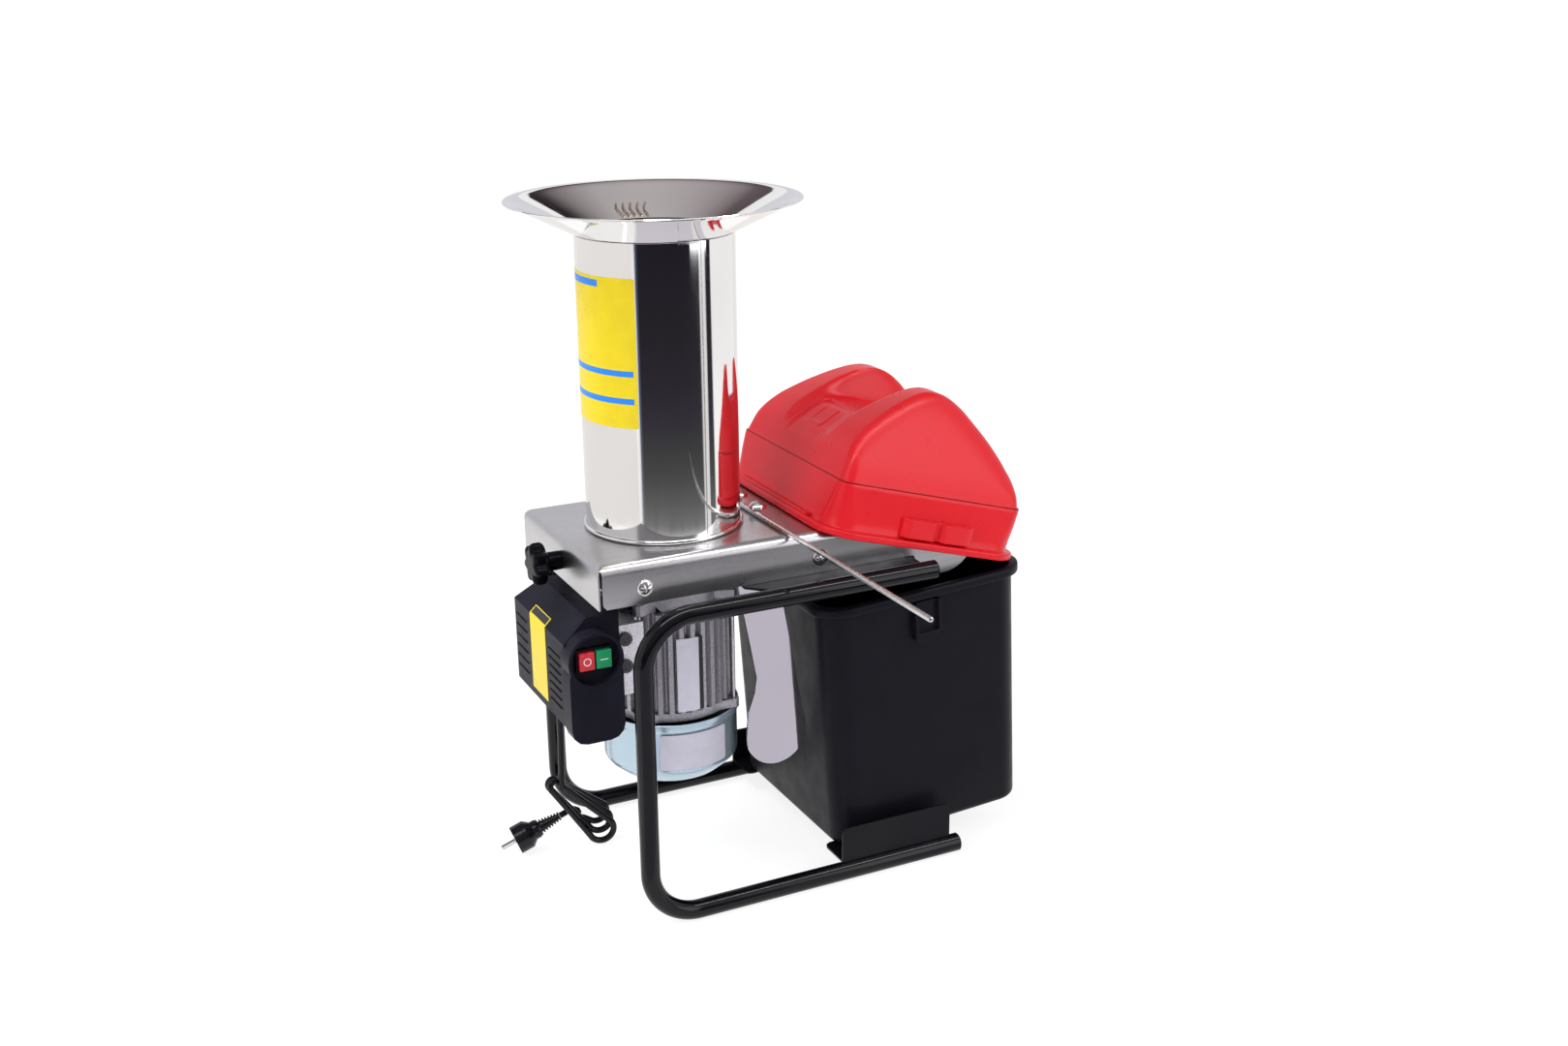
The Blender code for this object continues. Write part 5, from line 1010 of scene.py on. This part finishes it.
def box_film():
    """Plain yellow film on the box's front, folded over its chamfer, with a dark bar on its fold."""
    front = BOX_FRONT - 0.0002
    rows = [(front, 0.2455), (front, 0.290), (front, 0.3375), (front + 0.0008, 0.3390),
            (front + 0.0085, 0.3466)]
    bm = bmesh.new()
    slab(bm, *([[(x - out, y, z) for x, z in rows] for y in FILM_SIDES] for out in (FILM_THICK, 0.0)))
    piece("box_film", bm, YELLOW, angle=60)
    bar = bmesh.new()
    for y in (-0.0195, 0.0285):
        for x, z in ((front + 0.0014, 0.3396), (front + 0.0076, 0.3458)):
            for out in (0.0003, 0.0004):
                bar.verts.new((x - out * 0.707, y, z + out * 0.707))
    bmesh.ops.convex_hull(bar, input=bar.verts[:])
    piece("film_bar", bar, INK)


def louvres():
    """Small ribs that stand out of the box's air slots."""
    rib = ((0.0010, 0.0001), (-0.0009, 0.0004), (-0.0012, 0.0009), (0.0010, 0.0017))
    for name, count, middle, pitch in (("wide", 6, 0.065, 0.0130), ("narrow", 7, -0.050, 0.0103)):
        bm = bmesh.new()
        for i in range(count):
            z = LOUVRE_LOW + i * pitch
            plate(bm, [(BOX_FRONT + x, z + rise) for x, rise in rib], middle - LOUVRE_HALF,
                  middle + LOUVRE_HALF, place=upright())
        piece(f"{name}_louvres", bm, BOX_DARK)


def blanking_plugs():
    """Ribbed plastic plugs in the pad's unused cable entries."""
    shape = [(0.0, 0.0042), (0.0022, 0.0042), (0.0024, 0.0037), (0.0040, 0.0037), (0.0042, 0.0042),
             (0.0062, 0.0042), (0.0078, 0.0040), (0.0081, 0.0034), (0.0082, 0.0002), (0.0, 0.0002)]
    for name, z in (("upper", 0.327), ("lower", 0.294)):
        place = along((0, -1, 0), (ENTRY_X, ENTRY_Y, z))
        bm = bmesh.new()
        turned(bm, shape, 48, place)
        for angle in span(12):
            block(bm, (0.0026, 0.0060), (-0.0003, 0.0003), (0.0036, 0.0044),
                  place @ Matrix.Rotation(angle, 4, "Z"))
        piece(f"{name}_blanking_plug", bm, PLUG_GREY, angle=40)


def knob():
    """Star knob with smooth lobes on a collared hub."""
    star = [polar(KNOB_R - KNOB_LOBE * (1 - cos(LOBES * a)), a) for a in span(28 * LOBES)]
    levels = ((0.0, 0.66), (0.02, 0.72), (0.07, 0.82), (0.16, 0.92), (0.28, 0.985), (0.40, 1.0), (0.70, 1.0),
              (0.82, 0.975), (0.91, 0.92), (0.97, 0.84), (1.0, 0.74), (1.0, 0.45))
    place = along((-1, 0, 0), (CHASSIS_LEFT - GAP, 0.0, CHASSIS_BOTTOM + 0.0215))
    rings = [[(k * x, k * y, KNOB_START + KNOB_THICK * level) for x, y in star] for level, k in levels]
    bm = bmesh.new()
    loft(bm, rings, place)
    hub = [(0.0, KNOB_START + 0.004), (0.011, KNOB_START + 0.004), (0.011, 0.0008), (0.0102, 0.0),
           (0.0043, 0.0), (0.0043, 0.004), (0.0, 0.004)]
    turned(bm, hub, 64, place)
    piece("lobed_knob", bm, BOX_DARK, body="clamp_knob", slot="black_plastic", replaces="star_knob", angle=38)


buttons()
box_film()
louvres()
blanking_plugs()
knob()


# Bucket

BUCKET = Matrix.Translation((0.162, 0.0, 0.02558)) @ Matrix.Rotation(radians(-3.3), 4, "Y")
BUCKET_L, BUCKET_HALF, BUCKET_H, BUCKET_WALL = 0.262, 0.139, 0.318, 0.003
BUCKET_CORNER, BUCKET_FLARE, SKIRT_H = 0.030, 0.0035, 0.011
LUG_X, LUG_FOOT, LUG_H = (0.110, 0.146), 0.253, 0.050
ON_BUCKET = dict(body="pulp_bucket", place=BUCKET)


def bucket():
    """Tapered tub with a rolled rim, a stepped foot and a latch lug on each long side."""
    tall, wall, skirt = BUCKET_H, BUCKET_WALL, BUCKET_H - SKIRT_H
    rings = []
    for height, grow in (
            (0.0, -0.0078), (0.0006, -0.0062), (0.003, -0.003), (0.006, -0.0006), (0.010, 0.0), (0.08, 0.0),
            (0.16, 0.0), (0.24, 0.0), (skirt - 0.0006, 0.0), (skirt, 0.0006), (skirt, 0.0066),
            (skirt + 0.0008, 0.0077), (skirt + 0.0020, 0.0080), (tall - 0.0024, 0.0080),
            (tall - 0.0010, 0.0074), (tall, 0.0060), (tall, -0.0020), (tall - 0.0008, -0.0028),
            (tall - 0.003, -wall), (0.16, -wall), (0.010, -wall), (0.006, -wall - 0.002), (0.0033, -0.008)):
        out = grow + BUCKET_FLARE * height / tall
        x, y = (-out, BUCKET_L + out), (-BUCKET_HALF - out, BUCKET_HALF + out)
        rings.append(level_at(height, rounded(x, y, BUCKET_CORNER + out, 12)))
    bm = bmesh.new()
    loft(bm, rings)
    piece("bucket_tub", bm, TUB, slot="black_plastic", replaces="bucket", angle=40, **ON_BUCKET)
    x0, x1 = LUG_X
    face = BUCKET_HALF + 0.0033
    foot, top = LUG_FOOT, LUG_FOOT + LUG_H
    outline = [(x0, top), (x0, foot + 0.004), (x0 + 0.006, foot), (x0 + 0.014, foot - 0.001),
               (x1 - 0.008, foot + 0.006), (x1, foot + 0.012), (x1, top)]
    lugs, cuts = bmesh.new(), bmesh.new()
    for _, side in SIDES:
        plate(lugs, outline, *flank(side, face - 0.001, face + 0.0088), place=upright())
        block(cuts, (x0 + 0.0045, x1 - 0.0045), flank(side, face + 0.0035, face + 0.012),
              (foot + 0.012, top + 0.010))
    made = piece("bucket_lugs", lugs, TUB, slot="black_plastic", **ON_BUCKET)
    cut_out(made, (piece("lug_cuts", cuts, TUB, **ON_BUCKET),))
    soften(made, 0.0008)


bucket()


# Hood

HOOD = Matrix.Translation((0.138, 0.0, 0.437)) @ Matrix.Rotation(asin(0.27919), 4, "Y")
HOOD_L, HOOD_HALF, HOOD_CORNER, TOP_CORNER = 0.280, 0.148, 0.042, 0.015
PARTING, TOP_INSET, FLANGE = 0.064, 0.0135, 0.009
HOOD_TURN_STEPS, HOOD_SIDE_STEPS = 12, (84, 132)
HUMP_LINE = ((0.0, 0.0), (0.003, 0.017), (0.008, 0.033), (0.018, 0.050), (0.042, 0.073), (0.065, 0.090),
             (0.090, 0.105), (0.104, 0.111), (0.118, 0.114), (0.137, 0.112), (0.159, 0.102), (0.176, 0.090),
             (0.205, 0.067), (0.226, 0.046), (0.244, 0.022), (0.252, 0.0))
SADDLE_LINE = ((0.0, 0.0), (0.0025, 0.0145), (0.007, 0.029), (0.025, 0.050), (0.042, 0.066), (0.058, 0.0705),
               (0.168, 0.069), (0.192, 0.061), (0.226, 0.042), (0.243, 0.022), (0.252, 0.0))
SADDLE_HALF, SADDLE_EASE = 0.040, 0.018
FACE_SLOPE, FACE_FOOT, FACE_BLEND = 2.8, 0.009, 0.042
WALL_SLOPE, WALL_BLEND = 5.6, 0.008
RECESS_HALF, RECESS_FIRST, RECESS_LAST, RECESS_DEPTH = 0.037, 0.005, 0.056, 0.0034
TOP_STEP, TOP_COARSE_STEP, COARSE_FROM, TOP_LAST, TOP_END = 0.0014, 0.0028, 0.060, 0.1232, 0.1262
STEP_X, STEP_Y, STEP_Z = (0.0012, 0.0085), (-0.088, 0.088), (0.0088, 0.0128)
HOOD_SHEET = 0.0024
ON_COVER = dict(body="cover", place=HOOD)


def ease(value):
    """Ease from 0 to 1 with level ends."""
    t = min(max(value, 0.0), 1.0)
    return t * t * (3 - 2 * t)


def flowing(line, place):
    """Height along a line of points on a smooth curve that doesn't overshoot."""
    slopes = [(q[1] - p[1]) / (q[0] - p[0]) for p, q in zip(line, line[1:])]
    for i, ((a, low), (b, high)) in enumerate(zip(line, line[1:])):
        if a <= place <= b:
            t = (place - a) / (b - a)
            first = slopes[i] if i == 0 else (slopes[i - 1] + slopes[i]) / 2
            last = slopes[i] if i + 1 == len(slopes) else (slopes[i] + slopes[i + 1]) / 2
            width = b - a
            return ((2 * t ** 3 - 3 * t ** 2 + 1) * low + (t ** 3 - 2 * t ** 2 + t) * width * first
                    + (3 * t ** 2 - 2 * t ** 3) * high + (t ** 3 - t ** 2) * width * last)
    return 0.0


def soft_min(a, b, width):
    """The lesser of two heights, rounded where they meet."""
    share = max(width - abs(a - b), 0.0) / width
    return min(a, b) - share * share * width / 4


def hood_rise(u, v, inset):
    """Height of the hood's top over its parting line."""
    hump = flowing(HUMP_LINE, u)
    saddle = min(hump, flowing(SADDLE_LINE, u))
    ridge = saddle + (hump - saddle) * ease((abs(v) - SADDLE_HALF) / SADDLE_EASE)
    face = FACE_SLOPE * (HOOD_HALF - TOP_INSET - abs(v)) + FACE_FOOT
    top = soft_min(ridge, face, FACE_BLEND)
    recess = min(RECESS_HALF - abs(v), u - RECESS_FIRST, RECESS_LAST - u)
    if recess > 0:
        mark = min(0.0165 - abs(v), u - 0.017, 0.042 - u)
        top -= RECESS_DEPTH * ease(recess / 0.0026)
        top += 0.0016 * ease(mark / 0.0018) - 0.0008 * ease((mark - 0.0030) / 0.0016)
    return max(soft_min(top, WALL_SLOPE * inset, WALL_BLEND) if inset > 0 else 0.0, 0.0)


def hood_outline(inset, radius):
    """Outline of the hood shrunk by an inset, with the same count of points for every inset."""
    y = (-HOOD_HALF + inset, HOOD_HALF - inset)
    return rounded((inset, HOOD_L - inset), y, radius, HOOD_TURN_STEPS, HOOD_SIDE_STEPS)


def wall_ring(inset, z):
    """A ring of the hood's side wall, its corners tighter towards the parting line."""
    share = ease(z / PARTING) ** 1.2
    radius = (HOOD_CORNER - inset) * (1 - share) + TOP_CORNER * share
    return level_at(z, hood_outline(inset, radius))


def hood():
    """Two-humped hood with its flange, its parting groove and a thin dark strip of painted shade in that
    groove.
    """
    edge, top = FLANGE, PARTING
    rings = [wall_ring(inset, z) for inset, z in (
        (edge + 0.0026, 0.0), (0.0030, 0.0), (0.0012, 0.0004), (0.0003, 0.0013), (0.0, 0.0026), (0.0, 0.0064),
        (0.0003, 0.0077), (0.0012, 0.0086), (0.0028, 0.0090), (edge - 0.0022, 0.0090),
        (edge - 0.0008, 0.0094), (edge, 0.0106), (edge + 0.0006, 0.022), (edge + 0.0016, 0.040),
        (edge + 0.0026, 0.058),
        (edge + 0.0028, top - 0.0016), (edge + 0.0034, top - 0.0009), (edge + 0.0048, top - 0.0008),
        (edge + 0.0048, top - 0.0001), (TOP_INSET - 0.0003, top + 0.0001))]
    insets = [0.0005, 0.0012, 0.002, 0.003, 0.0042, 0.0054, 0.0066, 0.0078, 0.0092, 0.0108, 0.0125]
    while insets[-1] < TOP_LAST:
        insets.append(insets[-1] + (TOP_STEP if insets[-1] < COARSE_FROM else TOP_COARSE_STEP))
    for inset in insets + [TOP_END]:
        outline = hood_outline(TOP_INSET + inset, max(TOP_CORNER - inset * 0.35, 0.003))
        rings.append([(x, y, PARTING + hood_rise(x - TOP_INSET, y, inset)) for x, y in outline])
    # The dark strip round the parting groove is painted shade: a dark red band laid where the groove's shadow
    # falls.
    groove = corners((edge + 0.0030, edge + 0.0040), (top - 0.0007, top))
    line = bmesh.new()
    loft(line, [wall_ring(inset, z) for inset, z in groove], closed=True)
    piece("parting_shade_strip", line, SHADE, **ON_COVER)
    lip = bmesh.new()
    block(lip, STEP_X, STEP_Y, STEP_Z)
    piece("flange_step", lip, RED, slot="red_plastic", bevel=0.0008, steps=3, **ON_COVER)
    bm = bmesh.new()
    bm.faces.new(loft(bm, rings, capped=False)[-1])
    made = piece("hood_shell", bm, RED, slot="red_plastic", replaces="hood", angle=42, **ON_COVER)
    skin = made.modifiers.new("skin", "SOLIDIFY")
    skin.thickness = HOOD_SHEET
    skin.offset = -1.0


def clips():
    """Raised bridges moulded on the hood's side walls, with a groove in the middle."""
    x0, wall, low, high = 0.100, HOOD_HALF - FLANGE, 0.012, 0.034
    steps = ((0.0, 0.0030), (0.0075, 0.0106), (0.044, 0.0080), (0.0470, 0.0036), (0.0520, 0.0036),
             (0.0560, 0.0104), (0.062, 0.0104), (0.090, 0.0080), (0.099, 0.0048), (0.099, -0.0025),
             (0.0, -0.0025))
    for name, side in SIDES:
        bm = bmesh.new()
        plate(bm, [(x0 + x, side * (wall + out)) for x, out in steps], low, high)
        piece(f"{name}_clip", bm, RED, slot="red_plastic", bevel=0.0009, steps=3, **ON_COVER)


hood()
clips()


# Studio

FLOOR_REACH, FLOOR_Z, CARD_Z = (-30.0, 30.0), -0.0006, 0.004
CEILING_Z, STRIP_Z = 2.3, 2.29


def plane(name, corners, material):
    """A flat stage piece from its corners."""
    mesh = bpy.data.meshes.new(name)
    mesh.from_pydata([Vector(c) + SHIFT for c in corners], [], [tuple(range(len(corners)))])
    mesh.materials.append(material)
    obj = add_object(name, mesh)
    return obj


def sector(first, last, near, far, steps=24):
    """Corners of a ring sector on the ground, between two angles in degrees."""
    a, b = radians(first), radians(last)
    return level_at(CARD_Z, arc(CENTRE, near, a, b, steps) + arc(CENTRE, far, b, a, steps))


def seen(tree):
    """1 for camera, glossy and transmission rays, else 0."""
    rays = add_node(tree, "LightPath").outputs
    first = add_node(tree, "Math", {0: rays["Is Camera Ray"], 1: rays["Is Glossy Ray"]}, operation="MAXIMUM")
    both = {0: first.outputs[0], 1: rays["Is Transmission Ray"]}
    return add_node(tree, "Math", both, operation="MAXIMUM").outputs[0]


def bare(name):
    """A material without nodes, and its tree."""
    mat = bpy.data.materials.new(name)
    mat.use_nodes = True
    mat.node_tree.nodes.clear()
    return mat, mat.node_tree


def floor():
    """Pale floor that looks white and keeps the machine's shadow."""
    mat, tree = bare("pale_floor")
    plain = add_node(tree, "BsdfDiffuse", {"Color": (0.85, 0.85, 0.85, 1.0)})
    shaded = add_node(tree, "BsdfDiffuse", {"Color": (1.62, 1.62, 1.62, 1.0)})
    glow = add_node(tree, "Emission")
    pale = add_node(tree, "MixShader", {"Fac": 0.84, 1: shaded.outputs[0], 2: glow.outputs[0]})
    mix = add_node(tree, "MixShader", {"Fac": seen(tree), 1: plain.outputs[0], 2: pale.outputs[0]})
    add_node(tree, "OutputMaterial", {"Surface": mix.outputs[0]})
    plane("floor", level_at(FLOOR_Z, corners(FLOOR_REACH, FLOOR_REACH)), mat)


def world():
    """White studio: white where it is seen, a plain soft light elsewhere."""
    made = bpy.data.worlds.new("studio")
    bpy.context.scene.world = made
    made.use_nodes = True
    tree = made.node_tree
    back = tree.nodes["Background"].inputs
    back["Color"].default_value = (1.0, 1.0, 1.0, 1.0)
    tree.links.new(spread(tree, seen(tree), 0.62, 1.0, 0.0, 1.0), back["Strength"])


def card(name, corners, material):
    """A studio card that only reflections show."""
    made = plane(name, corners, material)
    made.visible_camera = False
    made.visible_diffuse = False
    made.visible_shadow = False
    made.visible_transmission = False
    made.visible_volume_scatter = False


def glowing(name, colour, strength=1.0):
    """An emission material of one colour, or of the colour that a function finds for each place."""
    mat, tree = bare(name)
    if callable(colour):
        coord = add_node(tree, "TexCoord").outputs["Object"]
        place = add_node(tree, "VectorMath", {0: coord, 1: SHIFT}, operation="SUBTRACT").outputs[0]
        colour = colour(tree, place)
    glow = add_node(tree, "Emission", {"Color": colour, "Strength": strength})
    add_node(tree, "OutputMaterial", {"Surface": glow.outputs[0]})
    return mat


def plain_card(name, corners, colour):
    """A card of one colour, which may be brighter than white."""
    level = max(colour)
    card(name, corners, glowing(name, opaque(scaled(colour, 1 / level)), level))


def wall_card(name, first, last, away, low, high, colour):
    """An upright curved card round the machine."""
    points = arc(CENTRE, away, radians(first), radians(last), 8)
    for i, ((x0, y0), (x1, y1)) in enumerate(zip(points, points[1:])):
        plain_card(f"{name}_{i}", [(x0, y0, low), (x1, y1, low), (x1, y1, high), (x0, y0, high)], colour)


def ramp(tree, value, low, high, stops):
    """A row of grey or coloured stops over a range of a value."""
    node = add_node(tree, "ValToRGB", {"Fac": spread(tree, value, start=low, end=high)})
    elements = node.color_ramp.elements
    elements[0].position = (stops[0][0] - low) / (high - low)
    elements[1].position = (stops[-1][0] - low) / (high - low)
    for place, _ in stops[1:-1]:
        elements.new((place - low) / (high - low))
    for element, (_, level) in zip(elements, stops):
        element.color = opaque(level if isinstance(level, tuple) else (level, level, level))
    return node.outputs["Color"]


def ground_colour(tree, place):
    """The unlit ground on the camera's side, lighter towards the machine, with one lit gap."""
    parts = add_node(tree, "SeparateXYZ", {0: place}).outputs
    flat = add_node(tree, "CombineXYZ", {"X": parts["X"], "Y": parts["Y"]}).outputs[0]
    away = add_node(tree, "VectorMath", {0: flat}, operation="LENGTH").outputs["Value"]
    turn = add_node(tree, "Math", {0: parts["Y"], 1: parts["X"]}, operation="ARCTAN2").outputs[0]
    dark = ramp(tree, away, 0.3, 5.0, (
        (0.3, (0.80, 0.76, 0.85)), (1.0, (0.80, 0.76, 0.85)), (1.36, 0.82), (1.43, 0.20), (1.60, 0.13),
        (1.75, 0.085), (1.95, 0.06), (2.2, (0.040, 0.037, 0.048)), (2.6, (0.028, 0.025, 0.034)),
        (3.2, (0.023, 0.020, 0.027)), (5.0, (0.015, 0.014, 0.020))))
    stops = ((-142.6, 1.0), (-141.2, (0.09, 0.12, 0.20)), (-137.5, 0.0), (-49.8, 0.0), (-48.8, 0.85),
             (-40.0, 0.85), (-38.8, 0.0), (-30.2, 0.0), (-29.0, 1.0))
    lit = ramp(tree, turn, radians(-146), radians(-26), [(radians(angle), level) for angle, level in stops])
    return blend(tree, dark, lit, how="SCREEN")


def ceiling_colour(tree, place):
    """Ceiling, white over the camera's side, dark just behind the machine, grey further back and darker
    towards its far end, crossed by two darker bands to the left and right.
    """
    parts = add_node(tree, "SeparateXYZ", {0: place}).outputs
    level = ramp(tree, parts["Y"], -1.2, 2.8, (
        (-1.2, 1.0), (-0.25, 1.0), (-0.05, 0.3), (0.20, 0.12), (0.55, (0.50, 0.46, 0.47)),
        (0.9, (0.52, 0.48, 0.49)), (1.5, (0.34, 0.30, 0.31)), (2.1, (0.14, 0.11, 0.12)),
        (2.8, (0.10, 0.08, 0.09))))
    across = ramp(tree, parts["X"], -2.6, 3.4, (
        (-2.6, 1.9), (-1.7, 1.3), (-1.25, 0.55), (-1.0, 0.25), (-0.80, 0.22), (-0.45, 0.8), (-0.1, 1.0),
        (0.75, 1.0), (1.15, 0.7), (1.5, 0.25), (1.75, 0.22), (2.1, 0.6), (2.6, 1.3), (3.4, 1.9)))
    return blend(tree, level, across, how="MULTIPLY")


def lamp(name, place, target, size, energy):
    """A soft box aimed at a point, left out of reflections."""
    data = bpy.data.lights.new(name, "AREA")
    data.shape = "RECTANGLE"
    data.size, data.size_y = size
    data.energy = energy
    obj = add_object(name, data)
    obj.location = Vector(place) + SHIFT
    obj.rotation_euler = (Vector(target) - Vector(place)).to_track_quat("-Z", "Y").to_euler()
    obj.visible_glossy = False


floor()
world()
card("ground_card", sector(-145, -28, 0.3, 9.0), glowing("dark_ground", ground_colour))
card("ceiling_card", level_at(CEILING_Z, corners((-2.6, 3.4), (-0.3, 2.8))),
     glowing("grey_ceiling", ceiling_colour))
wall_card("front_low_wall", -152, -67, 5.2, 0.02, 0.8, (0.030, 0.028, 0.036))
wall_card("front_wall", -152, -67, 5.2, 0.8, 5.5, (0.30, 0.29, 0.31))
wall_card("key_panel", -63, -37, 3.2, 0.25, 2.6, (2.6, 2.6, 2.7))
plain_card("long_strip", level_at(STRIP_Z, corners((-1.3, 1.7), (-0.97, -0.84))), (22.0, 22.0, 22.0))
plain_card("floor_strip", sector(-164, -158, 0.35, 1.3), (1.7, 1.7, 1.8))
plain_card("left_ground", sector(-330, -146, 1.45, 9.0, 60), (0.93, 0.91, 0.89))
wall_card("back_wall", 5, 132, 6.5, 0.0, 3.0, (0.74, 0.74, 0.80))
lamp("left_box", (-2.0, -0.9, 1.7), (0.0, 0.0, 0.35), (1.0, 1.8), 27)
lamp("right_box", (1.5, -1.8, 1.5), (0.1, 0.0, 0.35), (1.1, 1.6), 20)
lamp("top_box", (-0.8, 0.55, 2.1), (0.22, 0.0, 0.5), (1.2, 0.8), 26)

bpy.context.scene.view_settings.view_transform = "Standard"
